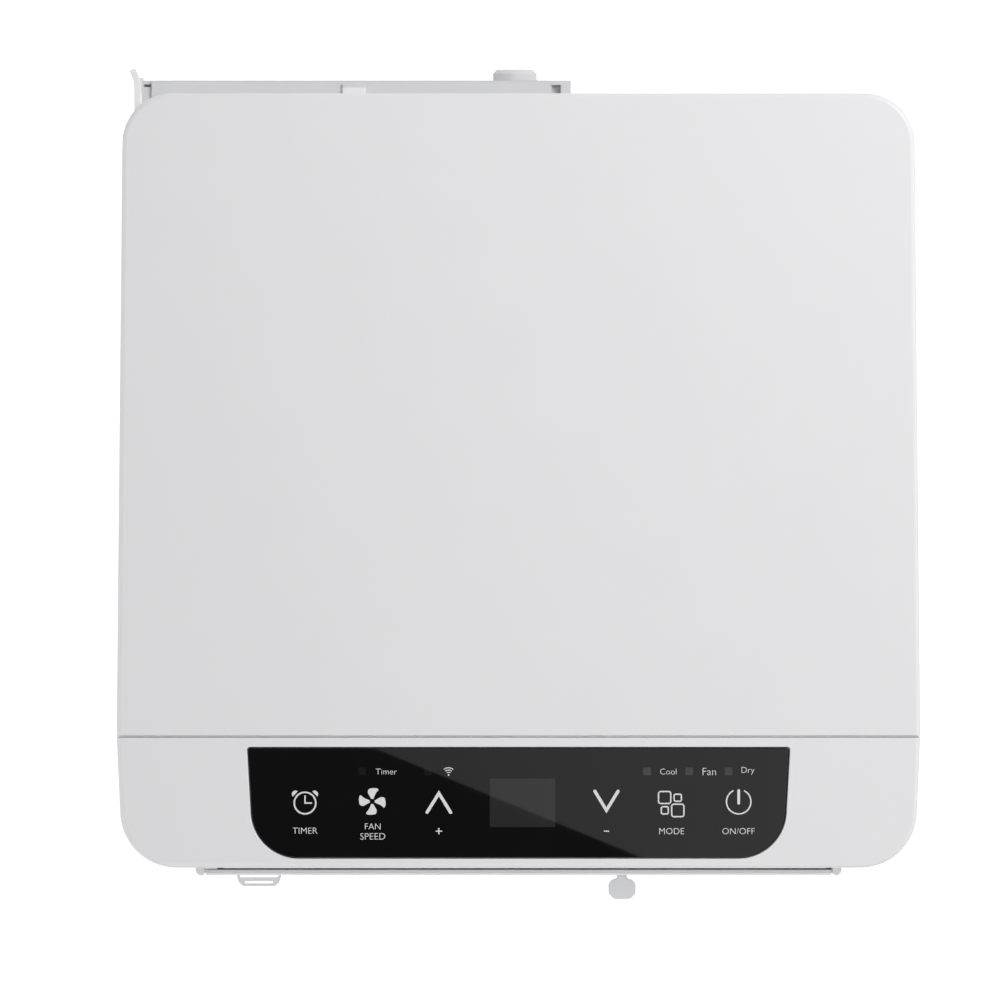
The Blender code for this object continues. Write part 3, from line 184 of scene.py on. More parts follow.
def plastic(name, colour, rough, grain=900.0, depth=0.00004, strength=0.25, vary=0.02, spread=0.05):
    """Moulded plastic: a fine spark-eroded grain, with slow changes of tone and gloss."""
    made, tree, shader = new_material(name)
    vector = coordinates(tree)
    slow = noise(tree, vector, 5.0, 3.0)
    fine = noise(tree, vector, grain, 2.0, 0.6)
    patchy = noise(tree, vector, 40.0, 4.0)
    tone = ramp(tree, slow, [(0.3, shade(colour, 1 - vary)), (0.7, shade(colour, 1 + vary))])
    tree.links.new(tone, shader.inputs["Base Color"])
    gloss = ranged(tree, patchy, rough - spread, rough + spread)
    tree.links.new(gloss, shader.inputs["Roughness"])
    tree.links.new(bump(tree, fine, strength, depth), shader.inputs["Normal"])
    return made


def metal(name, colour, rough, stretch, scale=260.0):
    """Rolled or brushed metal: streaks along one direction."""
    made, tree, shader = new_material(name)
    shader.inputs["Metallic"].default_value = 1.0
    vector = coordinates(tree, stretch)
    streaks = noise(tree, vector, scale, 3.0, 0.6)
    slow = noise(tree, coordinates(tree), 18.0, 3.0)
    tone = ramp(tree, slow, [(0.3, shade(colour, 0.9)), (0.7, shade(colour, 1.06))])
    tree.links.new(tone, shader.inputs["Base Color"])
    tree.links.new(ranged(tree, streaks, rough - 0.08, rough + 0.12), shader.inputs["Roughness"])
    tree.links.new(bump(tree, streaks, 0.3, 0.00004), shader.inputs["Normal"])
    return made


def beads(name, colour):
    """Expanded foam: fused beads about 3 mm across."""
    made, tree, shader = new_material(name)
    shader.inputs["Roughness"].default_value = 0.85
    cells = add_node(tree, "ShaderNodeTexVoronoi", feature="DISTANCE_TO_EDGE")
    cells.inputs["Scale"].default_value = 320.0
    tree.links.new(coordinates(tree), cells.inputs["Vector"])
    # The tone darkens along the bead boundaries, where the bump sinks grooves: painted shade.
    tone = ramp(tree, cells.outputs["Distance"], [(0.0, shade(colour, 0.86)), (0.12, colour)])
    tree.links.new(tone, shader.inputs["Base Color"])
    tree.links.new(bump(tree, cells.outputs["Distance"], 0.5, 0.0004), shader.inputs["Normal"])
    return made


def board_material():
    """Solder mask with slightly raised tracks under it."""
    made, tree, shader = new_material("circuit_board_look")
    shader.inputs["Roughness"].default_value = 0.35
    tracks = add_node(tree, "ShaderNodeTexBrick")
    tracks.inputs["Scale"].default_value = 60.0
    tracks.inputs["Mortar Size"].default_value = 0.03
    tracks.inputs["Color1"].default_value = (0.02, 0.13, 0.05, 1)
    tracks.inputs["Color2"].default_value = (0.025, 0.15, 0.06, 1)
    tracks.inputs["Mortar"].default_value = (0.05, 0.24, 0.1, 1)
    tree.links.new(coordinates(tree), tracks.inputs["Vector"])
    tree.links.new(tracks.outputs["Color"], shader.inputs["Base Color"])
    tree.links.new(bump(tree, tracks.outputs["Fac"], 0.3, 0.0001), shader.inputs["Normal"])
    return made


def glass_material(name, colour, rough=0.014):
    """Black printed glass: almost no grain, with a faint unevenness of polish."""
    made, tree, shader = new_material(name)
    shader.inputs["IOR"].default_value = 1.5
    vector = coordinates(tree)
    slow = noise(tree, vector, 22.0, 3.0)
    tone = ramp(tree, slow, [(0.3, shade(colour, 0.9)), (0.7, shade(colour, 1.1))])
    tree.links.new(tone, shader.inputs["Base Color"])
    tree.links.new(ranged(tree, slow, rough * 0.8, rough * 1.3), shader.inputs["Roughness"])
    return made


def ink_material(name, colour):
    made, tree, shader = new_material(name)
    vector = coordinates(tree)
    dots = noise(tree, vector, 1500.0, 2.0)
    tone = ramp(tree, dots, [(0.3, shade(colour, 0.94)), (0.7, shade(colour, 1.03))])
    tree.links.new(tone, shader.inputs["Base Color"])
    tree.links.new(ranged(tree, dots, 0.45, 0.6), shader.inputs["Roughness"])
    return made


def rubber_material():
    """Grey-black tyre rubber with a little dust in its grain."""
    made, tree, shader = new_material("wheel_rubber_look")
    vector = coordinates(tree)
    grain = noise(tree, vector, 700.0, 4.0, 0.7)
    dust = noise(tree, vector, 60.0, 5.0, 0.6)
    tone = ramp(tree, dust, [(0.35, (0.045, 0.045, 0.048)), (0.8, (0.11, 0.11, 0.105))])
    tree.links.new(tone, shader.inputs["Base Color"])
    tree.links.new(ranged(tree, dust, 0.6, 0.85), shader.inputs["Roughness"])
    tree.links.new(bump(tree, grain, 0.4, 0.0001), shader.inputs["Normal"])
    return made


LOOKS = {
    "cabinet_plastic": plastic("cabinet_plastic_look", (0.770, 0.7645, 0.774), 0.42, vary=0.006),
    "trim_plastic": plastic("trim_plastic_look", (0.80, 0.80, 0.81), 0.45, vary=0.008),
    "panel_glass": glass_material("panel_glass_look", (0.006, 0.006, 0.0062)),
    "dark_plastic": plastic(
        "dark_plastic_look", (0.05, 0.05, 0.055), 0.5, grain=700.0, depth=0.00008, vary=0.1
    ),
    "circuit_board": board_material(),
    "foam_duct": beads("foam_duct_look", (0.66, 0.66, 0.64)),
    "coil_fins": metal("coil_fins_look", (0.80, 0.81, 0.82), 0.35, (1.0, 1.0, 6.0)),
    "copper_pipe": metal("copper_pipe_look", (0.72, 0.38, 0.22), 0.3, (1.0, 1.0, 0.2), 180.0),
    "painted_steel": plastic(
        "painted_steel_look", (0.03, 0.03, 0.034), 0.32, grain=260.0, depth=0.0002, vary=0.12
    ),
    "motor_steel": metal("motor_steel_look", (0.55, 0.56, 0.58), 0.35, (1.0, 0.15, 1.0)),
    "wheel_rubber": rubber_material(),
}
# A lighter copy of the trim plastic, for the outlet parts, cord hooks and pull tab: painted light
# that lifts them out of the shade under the cover's overhang.
LIGHTENED_TRIM = plastic("lightened_trim_look", (0.87, 0.87, 0.875), 0.45, vary=0.008)
# A darker copy of the trim plastic, for the exhaust frame, cover and drain spout: painted shade.
DARKENED_TRIM = plastic("darkened_trim_look", (0.70, 0.70, 0.71), 0.45, vary=0.008)
# A darker copy of the fin metal, on the coil blocks behind the fins: painted shade for the depth of
# the fin pack.
COIL_DEPTH_SHADE = metal("coil_depth_shade_look", (0.30, 0.31, 0.32), 0.45, (6.0, 1.0, 1.0))
INK = ink_material("legend_ink", (0.72, 0.72, 0.72))
LAMP = glass_material("lamp_window", (0.0115, 0.0115, 0.012))
PALE_LAMP = glass_material("pale_lamp_window", (0.042, 0.042, 0.043))
DISPLAY = glass_material("display_window_smoke", (0.025, 0.025, 0.0255))
WEAVE = plastic("filter_weave", (0.055, 0.055, 0.06), 0.6, grain=1200.0, vary=0.12)


# ---- mesh helpers --------------------------------------------------------------------------
def finish_mesh(bm, name, look, body):
    """Write a mesh built in millimetres and let it ride on its body."""
    bmesh.ops.remove_doubles(bm, verts=bm.verts, dist=0.0004)
    bmesh.ops.recalc_face_normals(bm, faces=bm.faces)
    bm.transform(Matrix.Scale(MM, 4))
    mesh = bpy.data.meshes.new(name)
    bm.to_mesh(mesh)
    bm.free()
    mesh.materials.append(look)
    made = bpy.data.objects.new(name, mesh)
    bpy.context.scene.collection.objects.link(made)
    if body:
        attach(made, body)
    return made


def loft(bm, rings):
    count = len(rings[0])
    levels = [[bm.verts.new(point) for point in ring] for ring in rings]
    for low, high in zip(levels, levels[1:]):
        for i in range(count):
            j = (i + 1) % count
            bm.faces.new((low[i], low[j], high[j], high[i]))
    bm.faces.new(levels[0][::-1])
    bm.faces.new(levels[-1])


def flat_loft(bm, rings):
    """Rings are (outline in x and y, z)."""
    loft(bm, [[(x, y, z) for x, y in points] for points, z in rings])


def add_block(bm, x, y, z):
    outline = [(x[0], y[0]), (x[1], y[0]), (x[1], y[1]), (x[0], y[1])]
    flat_loft(bm, [(outline, z[0]), (outline, z[1])])


def arc(centre, radius, start, end, steps=16):
    turn = [math.radians(start + (end - start) * i / steps) for i in range(steps + 1)]
    return [(centre[0] + radius * math.cos(a), centre[1] + radius * math.sin(a)) for a in turn]


def smooth(made):
    for face in made.data.polygons:
        face.use_smooth = True


def round_edges(made, width, segments=3, angle=35.0):
    """Small rounds on the edges, with flat faces kept flat in the shading."""
    smooth(made)
    step = made.modifiers.new("edge_rounds", "BEVEL")
    step.width = width * MM
    step.segments = segments
    step.limit_method = "ANGLE"
    step.angle_limit = math.radians(angle)
    step.harden_normals = False
    shading = made.modifiers.new("flat_shading", "WEIGHTED_NORMAL")
    shading.weight = 100
    shading.keep_sharp = False


def carve(made, cutter):
    step = made.modifiers.new("cut_" + cutter.name, "BOOLEAN")
    step.operation = "DIFFERENCE"
    step.solver = "EXACT"
    step.object = cutter


def apply_steps(made, *helpers):
    """Turn the modifiers into the mesh and remove the helpers."""
    bpy.context.view_layer.update()
    graph = bpy.context.evaluated_depsgraph_get()
    mesh = bpy.data.meshes.new_from_object(made.evaluated_get(graph))
    made.modifiers.clear()
    made.data = mesh
    for helper in helpers:
        bpy.data.objects.remove(helper, do_unlink=True)


# ---- outlines ------------------------------------------------------------------------------
def side_x(y):
    corner_y = FRONT + FRONT_CORNER_R
    if y < SEAM_Y:
        share = (y - corner_y) / (SEAM_Y - corner_y)
        return (FRONT_WIDTH + share * (SEAM_WIDTH - FRONT_WIDTH)) / 2
    share = (y - SEAM_Y) / (REAR - REAR_CORNER_R - SEAM_Y)
    return (SEAM_WIDTH + share * (REAR_WIDTH - SEAM_WIDTH)) / 2


def front_run(inset, y_end):
    radius = FRONT_CORNER_R - inset
    x = FRONT_WIDTH / 2 - FRONT_CORNER_R
    y = FRONT + FRONT_CORNER_R
    run = [(-side_x(y_end) + inset, y_end)]
    run += arc((-x, y), radius, 180, 270)
    run += arc((x, y), radius, 270, 360)
    return run + [(side_x(y_end) - inset, y_end)]


def rear_run(inset, y_start):
    radius = REAR_CORNER_R - inset
    x = REAR_WIDTH / 2 - REAR_CORNER_R
    y = REAR - REAR_CORNER_R
    run = [(side_x(y_start) - inset, y_start)]
    run += arc((x, y), radius, 0, 90)
    run += arc((-x, y), radius, 90, 180)
    return run + [(-side_x(y_start) + inset, y_start)]


def cap_rings(run, edge, direction, lip=0.0):
    """Outer rings with the rounded top edge, over an inner hollow. A lip stands into the seam."""
    rings = [(run(WALL, edge + direction * WALL), BODY_HEIGHT - WALL)]
    rings.append((run(WALL, edge + direction * WALL), CAP_BOTTOM))
    rings.append((run(0.0, edge - direction * lip), CAP_BOTTOM))
    for i in range(9):
        a = math.radians(90 * i / 8)
        inset = CAP_FILLET * (1 - math.cos(a))
        level = BODY_HEIGHT - CAP_FILLET * (1 - math.sin(a))
        if lip:
            rings.append((run(inset, edge - direction * lip), level))
        if level > BODY_HEIGHT - LIP_BELOW:
            lip = 0.0
        if not lip:
            rings.append((run(inset, edge + direction * inset * SEAM_EDGE_SHARE), level))
    return rings


# ---- cover, bezel and glass ----------------------------------------------------------------
WHITE = LOOKS["cabinet_plastic"]
bm = bmesh.new()
flat_loft(bm, cap_rings(rear_run, SEAM_Y + SEAM_GAP / 2, 1, SEAM_GAP - 0.2))
cover = finish_mesh(bm, "cover_moulding", WHITE, None)
round_edges(cover, 0.3, 2, 60)
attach(cover, "cabinet")
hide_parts("top_cover")

panel_rear = SEAM_Y - 5.0
panel_front = panel_rear - PANEL_DEPTH


def panel_outline(grow, steps=20):
    half = PANEL_WIDTH / 2
    x = half - PANEL_TAPER - PANEL_CORNER_R
    y = panel_front + PANEL_CORNER_R
    radius = PANEL_CORNER_R + grow
    small = 1.2
    run = arc((-half - grow + small, panel_rear + grow - small), small, 90, 180, 5)
    run += arc((-x, y), radius, 180, 270, steps)
    run += arc((x, y), radius, 270, 360, steps)
    return run + arc((half + grow - small, panel_rear + grow - small), small, 0, 90, 5)


bm = bmesh.new()
flat_loft(bm, cap_rings(front_run, SEAM_Y - SEAM_GAP / 2, -1)[2:])
bezel = finish_mesh(bm, "bezel_moulding", WHITE, None)
bm = bmesh.new()
flat_loft(bm, [(panel_outline(GAP), GLASS_TOP - GLASS_THICK - GAP), (panel_outline(GAP), 710.0)])
pocket = finish_mesh(bm, "pocket", WHITE, None)
bm = bmesh.new()
inner = front_run(WALL, SEAM_Y - SEAM_GAP / 2 - WALL)
flat_loft(bm, [(inner, CAP_BOTTOM - 5), (inner, BODY_HEIGHT - 6.0)])
hollow = finish_mesh(bm, "hollow", WHITE, None)
carve(bezel, pocket)
carve(bezel, hollow)
apply_steps(bezel, pocket, hollow)
round_edges(bezel, 0.55, 3, 50)
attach(bezel, "cabinet")
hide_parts("control_bezel")

GLASS_ROUND = 0.35
bm = bmesh.new()
outline = panel_outline(0.0)
rings = [(outline, GLASS_TOP - GLASS_THICK), (outline, GLASS_TOP - GLASS_ROUND)]
for i in range(1, 5):
    a = math.radians(90 * i / 4)
    inset = GLASS_ROUND * (1 - math.cos(a))
    rings.append((panel_outline(-inset), GLASS_TOP - GLASS_ROUND * (1 - math.sin(a))))
flat_loft(bm, rings)
glass = finish_mesh(bm, "glass_plate", LOOKS["panel_glass"], "cabinet")
round_edges(glass, 0.05, 1, 80)
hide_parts("touch_panel")

# ---- printed legends on the glass ----------------------------------------------------------
PRINT_Z = (GLASS_TOP - 0.005, GLASS_TOP + 0.03)


def outline_of(points, width, round_ends=True):
    """A ribbon of constant width along points, as one closed outline."""
    half = width / 2
    path = [Vector(p) for p in points]
    left = []
    right = []
    for i, point in enumerate(path):
        before = path[max(i - 1, 0)]
        after = path[min(i + 1, len(path) - 1)]
        into = (point - before).normalized() if i else (after - point).normalized()
        out = (after - point).normalized() if i < len(path) - 1 else into
        along = (into + out).normalized()
        side = Vector((-along.y, along.x))
        reach = half / max(0.35, side.dot(Vector((-out.y, out.x))))
        left.append(tuple(point + side * reach))
        right.append(tuple(point - side * reach))
    if not round_ends:
        return left + right[::-1]
    first = (path[0] - path[1]).normalized()
    last = (path[-1] - path[-2]).normalized()
    end_angle = math.degrees(math.atan2(last.y, last.x))
    start_angle = math.degrees(math.atan2(first.y, first.x))
    tip = arc(tuple(path[-1]), half, end_angle + 90, end_angle - 90, 8)
    tail = arc(tuple(path[0]), half, start_angle + 90, start_angle - 90, 8)
    return left[:-1] + tip + right[1:-1][::-1] + tail


def ink_line(bm, points, width, round_ends=True):
    points = outline_of(points, width, round_ends)
    flat_loft(bm, [(points, PRINT_Z[0]), (points, PRINT_Z[1])])


def ink_shape(bm, points):
    flat_loft(bm, [(points, PRINT_Z[0]), (points, PRINT_Z[1])])


def ink_loop(bm, outer, inner_loop):
    """A closed band between two outlines of equal point count."""
    count = len(outer)
    loops = []
    for points, z in (
        (outer, PRINT_Z[0]),
        (outer, PRINT_Z[1]),
        (inner_loop, PRINT_Z[1]),
        (inner_loop, PRINT_Z[0]),
    ):
        loops.append([bm.verts.new((x, y, z)) for x, y in points])
    for k in range(4):
        first = loops[k]
        second = loops[(k + 1) % 4]
        for i in range(count):
            j = (i + 1) % count
            bm.faces.new((first[i], first[j], second[j], second[i]))


def ring_loop(bm, centre, radius, stroke):
    outer = arc(centre, radius, 0, 360, 48)[:-1]
    ink_loop(bm, outer, arc(centre, radius - stroke, 0, 360, 48)[:-1])


def rounded(x, y, radius):
    points = arc((x[0] + radius, y[0] + radius), radius, 180, 270, 6)
    points += arc((x[1] - radius, y[0] + radius), radius, 270, 360, 6)
    points += arc((x[1] - radius, y[1] - radius), radius, 0, 90, 6)
    return points + arc((x[0] + radius, y[1] - radius), radius, 90, 180, 6)


def square_loop(bm, x, y, radius, stroke):
    inner_x = (x[0] + stroke, x[1] - stroke)
    inner_y = (y[0] + stroke, y[1] - stroke)
    ink_loop(bm, rounded(x, y, radius), rounded(inner_x, inner_y, radius - stroke))


def letters(bm, body, centre, width, thin=-0.013):
    """Generic function words in a thin sans face, scaled to a width."""
    curve = bpy.data.curves.new("word", "FONT")
    curve.body = body
    curve.size = 1.0
    curve.offset = thin
    curve.resolution_u = 4
    curve.fill_mode = "BOTH"
    curve.extrude = 0.01
    holder = bpy.data.objects.new("word", curve)
    bpy.context.scene.collection.objects.link(holder)
    bpy.context.view_layer.update()
    graph = bpy.context.evaluated_depsgraph_get()
    mesh = bpy.data.meshes.new_from_object(holder.evaluated_get(graph))
    xs = [v.co.x for v in mesh.vertices]
    ys = [v.co.y for v in mesh.vertices]
    scale = width / (max(xs) - min(xs))
    middle = Vector(((max(xs) + min(xs)) / 2, (max(ys) + min(ys)) / 2, 0))
    flatten = (PRINT_Z[1] - PRINT_Z[0]) / 0.02
    matrix = Matrix.Translation((centre[0], centre[1], sum(PRINT_Z) / 2))
    matrix = matrix @ Matrix.Diagonal((scale, scale, flatten, 1.0)) @ Matrix.Translation(-middle)
    mesh.transform(matrix)
    bm.from_mesh(mesh)
    bpy.data.objects.remove(holder, do_unlink=True)


bm = bmesh.new()
# timer: a clock with two bells
clock = (-94.3, -142.4)
ring_loop(bm, clock, 5.1, 0.7)
ink_line(bm, [(clock[0], clock[1] + 3.4), clock, (clock[0] + 3.1, clock[1])], 0.6, False)
for side in (-1, 1):
    middle = 90 - side * 47
    foot = arc(clock, 5.75, middle, middle, 1)[0]
    ink_shape(bm, arc(foot, 1.6, middle + 85, middle - 85, 12))
# fan speed: four curved blades
hub = (-64.6, -141.7)
BLADE = [(-0.4, 1.1), (-1.2, 2.4), (-1.95, 3.8), (-1.9, 4.9), (-1.3, 5.6), (0.2, 5.9), (1.7, 5.85)]
BLADE += [(2.6, 5.5), (2.7, 4.95), (1.9, 4.1), (1.2, 2.9), (0.5, 1.1)]
for k in range(4):
    turn = Matrix.Rotation(math.radians(90 * k), 2)
    points = [tuple(Vector(hub) + turn @ Vector(point)) for point in BLADE]
    ink_shape(bm, points[::-1])
# up and down, with their signs
ink_line(bm, [(-40.4, -146.5), (-35.2, -138.1), (-30.0, -146.5)], 1.4)
ink_line(bm, [(33.7, -137.2), (38.8, -145.6), (43.9, -137.2)], 1.4)
ink_line(bm, [(-36.6, -154.8), (-33.8, -154.8)], 0.5, False)
ink_line(bm, [(-35.2, -153.4), (-35.2, -154.55)], 0.5, False)
ink_line(bm, [(-35.2, -155.05), (-35.2, -156.2)], 0.5, False)
ink_line(bm, [(37.7, -154.8), (40.0, -154.8)], 0.5, False)
# mode: four rounded squares of different sizes
square_loop(bm, (61.5, 67.5), (-142.9, -137.0), 1.3, 0.6)
square_loop(bm, (68.4, 72.2), (-141.9, -138.2), 1.0, 0.6)
square_loop(bm, (62.7, 66.4), (-147.5, -143.7), 1.0, 0.6)
square_loop(bm, (67.3, 73.3), (-148.7, -142.6), 1.3, 0.6)
# power
power = (97.2, -141.8)
ink_line(bm, arc(power, 5.4, 118, 422, 44), 0.6)
ink_line(bm, [(97.2, -136.9), (97.2, -142.5)], 1.2)
# a signal fan where a radio link is shown
signal = (-30.9, -130.0)
for radius in (1.2, 2.2, 3.2):
    ink_line(bm, arc(signal, radius, 50, 130, 10), 0.4, False)
ink_shape(bm, arc(signal, 0.4, 0, 360, 12)[:-1])
letters(bm, "TIMER", (-94.3, -154.6), 10.9)
letters(bm, "FAN", (-64.4, -152.7), 6.9)
letters(bm, "SPEED", (-64.4, -157.1), 11.0)
letters(bm, "MODE", (67.6, -154.8), 11.0)
letters(bm, "ON/OFF", (97.1, -154.8), 14.2)
letters(bm, "Timer", (-58.4, -128.5), 9.3)
letters(bm, "Cool", (66.1, -128.5), 7.2)
letters(bm, "Fan", (84.2, -128.5), 5.9)
letters(bm, "Dry", (101.3, -128.2), 5.7)
finish_mesh(bm, "panel_legend", INK, "cabinet")


WINDOW_Z = (GLASS_TOP - 0.005, GLASS_TOP + 0.012)


def lamp_windows(name, places, look):
    bm = bmesh.new()
    for x in places:
        points = rounded((x - 1.7, x + 1.7), (-130.1, -126.7), 0.3)
        flat_loft(bm, [(points, WINDOW_Z[0]), (points, WINDOW_Z[1])])
    return finish_mesh(bm, name, look, "cabinet")


lamp_windows("left_lamp_windows", (-69.1, -40.0), LAMP)
lamp_windows("right_lamp_windows", (56.7, 75.4, 92.7), PALE_LAMP)
bm = bmesh.new()
points = rounded((-12.7, 16.2), (-153.0, -131.6), 0.6)
flat_loft(bm, [(points, WINDOW_Z[0]), (points, WINDOW_Z[1])])
finish_mesh(bm, "display_window", DISPLAY, "cabinet")


# ---- filter weave and coil fins ------------------------------------------------------------
def box_mm(node):
    low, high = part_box(node)
    return [v / MM for v in low], [v / MM for v in high]


STRAND_PITCH = 2.4
STRAND = 0.2  # half of a strand's width


def weave(name, node, body):
    """Strands of the dust filter, crossing within the frame's thickness."""
    low, high = box_mm(node)
    y = (low[1] + high[1]) / 2
    bm = bmesh.new()
    columns = int((high[0] - low[0] - 6) / STRAND_PITCH)
    rows = int((high[2] - low[2] - 6) / STRAND_PITCH)
    for i in range(columns + 1):
        x = low[0] + 3 + (high[0] - low[0] - 6) * i / columns
        add_block(bm, (x - STRAND, x + STRAND), (y - 0.4, y - 0.02), (low[2] + 2, high[2] - 2))
    for i in range(rows + 1):
        z = low[2] + 3 + (high[2] - low[2] - 6) * i / rows
        add_block(bm, (low[0] + 2, high[0] - 2), (y + 0.02, y + 0.4), (z - STRAND, z + STRAND))
    return finish_mesh(bm, name, WEAVE, body)


weave("upper_filter_weave", "upper_filter", "upper_grille")
weave("lower_filter_weave", "lower_filter", "lower_grille")

COIL_REAR = 153.5
FIN_PITCH = 2.2
FIN_HALF = 0.18
FIN_PROUD = 2.2


def fins(name, node):
    """The coil's thin plates, standing out of its rear face behind the filter."""
    low, high = box_mm(node)
    bm = bmesh.new()
    count = int((high[0] - low[0]) / FIN_PITCH)
    y = (COIL_REAR - 0.3, COIL_REAR + FIN_PROUD)
    z = (low[2] - 2, high[2] + 2)
    for i in range(count + 1):
        x = low[0] + (high[0] - low[0]) * i / count
        add_block(bm, (x - FIN_HALF, x + FIN_HALF), y, z)
    return finish_mesh(bm, name, LOOKS["coil_fins"], "cabinet")


fins("upper_coil_fins", "upper_filter")
fins("lower_coil_fins", "lower_filter")

# ---- tab on the exhaust cover's pull, lighter through the lightened trim copy (painted light) ---
PULL_X = -73.7
tab_top = box_mm("exhaust_cover")[1][2]
bm = bmesh.new()
tab = rounded((PULL_X - 5.2, PULL_X + 5.2), (REAR + 0.5, REAR + 5.6), 0.7)
inner_tab = rounded((PULL_X - 4.9, PULL_X + 4.9), (REAR + 0.8, REAR + 5.3), 0.5)
flat_loft(bm, [(tab, tab_top - 2.0), (tab, tab_top - 0.3), (inner_tab, tab_top + 0.05)])
tab = finish_mesh(bm, "cover_pull_tab", LIGHTENED_TRIM, "exhaust_cover")
round_edges(tab, 0.2, 2, 30)

# ---- casters: rounded tyres, ribbed hubs and smooth forks -----------------------------------
WHEEL_R = 20.0
FORK_TOP = 51.7
CASTER_TRAIL = 11.0
CHEEK_X = (9.3, 11.9)
HUB_R = 13.6


def turned_ring(bm, centre, profile, steps=64):
    """A closed profile of (radius, x offset) turned about the x axis through centre."""
    loops = []
    for k in range(steps):
        a = 2 * math.pi * k / steps
        ring = []
        for radius, x in profile:
            y = centre[1] + radius * math.cos(a)
            z = centre[2] + radius * math.sin(a)
            ring.append(bm.verts.new((centre[0] + x, y, z)))
        loops.append(ring)
    count = len(profile)
    for k in range(steps):
        first = loops[k]
        second = loops[(k + 1) % steps]
        for i in range(count):
            j = (i + 1) % count
            bm.faces.new((first[i], first[j], second[j], second[i]))


def turned_pin(bm, centre, levels, steps=32):
    """A solid pin along x, from (radius, x offset) levels."""
    rings = []
    for radius, x in levels:
        circle = arc((centre[1], centre[2]), radius, 0, 360, steps)[:-1]
        rings.append([(centre[0] + x, y, z) for y, z in circle])
    loft(bm, rings)


def softened(points, reach, steps=6):
    """The outline with each corner turned into a curve."""
    made = []
    for i, corner in enumerate(points):
        corner = Vector(corner)
        before = Vector(points[i - 1]) - corner
        after = Vector(points[(i + 1) % len(points)]) - corner
        start = corner + before.normalized() * min(reach, before.length * 0.48)
        end = corner + after.normalized() * min(reach, after.length * 0.48)
        for k in range(steps + 1):
            t = k / steps
            made.append(tuple(start * (1 - t) ** 2 + corner * 2 * t * (1 - t) + end * t ** 2))
    return made


TURNS = (0, 0.26, 0.52, 0.79, 1.05, 1.31)
shoulder = [(16.5 + 3.5 * math.sin(t), 5.0 + 3.5 * math.cos(t)) for t in TURNS]
half_tyre = [(HUB_R, 7.8)] + shoulder + [(WHEEL_R, 5.0), (WHEEL_R, 0.9), (WHEEL_R - 0.6, 0.5)]
TYRE = half_tyre + [(radius, -x) for radius, x in half_tyre[::-1]]
half_hub = [(2.8, 8.2), (5.2, 8.2), (5.8, 7.6), (5.8, 4.0), (11.4, 4.0), (12.0, 7.2)]
half_hub += [(HUB_R - 0.05, 7.6)]
HUB = half_hub + [(radius, -x) for radius, x in half_hub[::-1]]

for corner in ("front_left", "front_right", "rear_left", "rear_right"):
    body = "caster_wheel_" + corner
    low, high = box_mm(body)
    axle = [(a + b) / 2 for a, b in zip(low, high)]
    bm = bmesh.new()
    turned_ring(bm, axle, TYRE)
    tyre = finish_mesh(bm, "caster_tyre_" + corner, LOOKS["wheel_rubber"], body)
    round_edges(tyre, 0.15, 2, 40)
    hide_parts(body)
    bm = bmesh.new()
    turned_ring(bm, axle, HUB, 48)
    for k in range(6):
        turn = Matrix.Rotation(math.radians(60 * k + 30), 3, "X")
        for side in (-1, 1):
            rings = []
            for radius in (5.5, 11.7):
                face = [(3.9, -0.7), (3.9, 0.7), (6.6, 0.7), (6.6, -0.7)]
                spots = [Vector((side * x, y, radius)) for x, y in face]
                rings.append([turn @ spot + Vector(axle) for spot in spots])
            loft(bm, rings)
    hub = finish_mesh(bm, "caster_hub_" + corner, LOOKS["dark_plastic"], body)
    round_edges(hub, 0.15, 2, 40)

    body = "caster_fork_" + corner
    stem_top = box_mm(body)[1][2]
    y = axle[1] - CASTER_TRAIL
    cheek = [(y - 10, FORK_TOP - 1), (y - 8, 19), (axle[1] - 4, 13.6), (axle[1] + 5.6, 14.6)]
    cheek = softened(cheek + [(axle[1] + 6, 23), (y + 11, FORK_TOP - 1)], 6.0)
    bm = bmesh.new()
    for near, far in (CHEEK_X, (-CHEEK_X[1], -CHEEK_X[0])):
        loft(bm, [[(axle[0] + x, u, v) for u, v in cheek] for x in (near, far)])
    disc = arc((axle[0], y), 13.0, 0, 360, 64)[:-1]
    flat_loft(bm, [(disc, FORK_TOP - 5), (disc, FORK_TOP)])
    stem = arc((axle[0], y), 4.0, 0, 360, 32)[:-1]
    flat_loft(bm, [(stem, FORK_TOP - 2), (stem, stem_top)])
    turned_pin(bm, axle, [(2.5, -11.0), (2.5, 11.0)])
    for side in (-1, 1):
        turned_pin(bm, axle, [(3.4, side * 11.5), (3.4, side * 12.4), (2.8, side * 12.8)])
    yoke = finish_mesh(bm, "caster_yoke_" + corner, LOOKS["trim_plastic"], body)
    round_edges(yoke, 0.4, 2, 40)
    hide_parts(body)

# ---- finishes on the carried-over parts, with the width of their edge rounds -----------------
EDGE = {
    "cabinet_plastic": 0.35,
    "trim_plastic": 0.3,
    "dark_plastic": 0.2,
    "foam_duct": 0.6,
    "motor_steel": 0.3,
    "painted_steel": 0.4,
    "wheel_rubber": 0.5,
}
slots = {row["node"]: row["material_slot"] for row in frame["record"]["subparts"]}
replaced = {"top_cover", "control_bezel", "touch_panel"}
replaced |= {name for name in nodes if name.startswith("caster_")}
FRONT_PARTS = ("outlet_frame", "louver_upper", "louver_lower", "vane_knob")
# The outlet parts and cord hooks take the lightened trim copy: painted light.
PAINTED = {name: LIGHTENED_TRIM for name in FRONT_PARTS + ("cord_hook_upper", "cord_hook_lower")}
# The exhaust parts take the darkened trim copy: painted shade.
PAINTED.update({name: DARKENED_TRIM for name in ("exhaust_frame", "exhaust_cover", "drain_spout")})
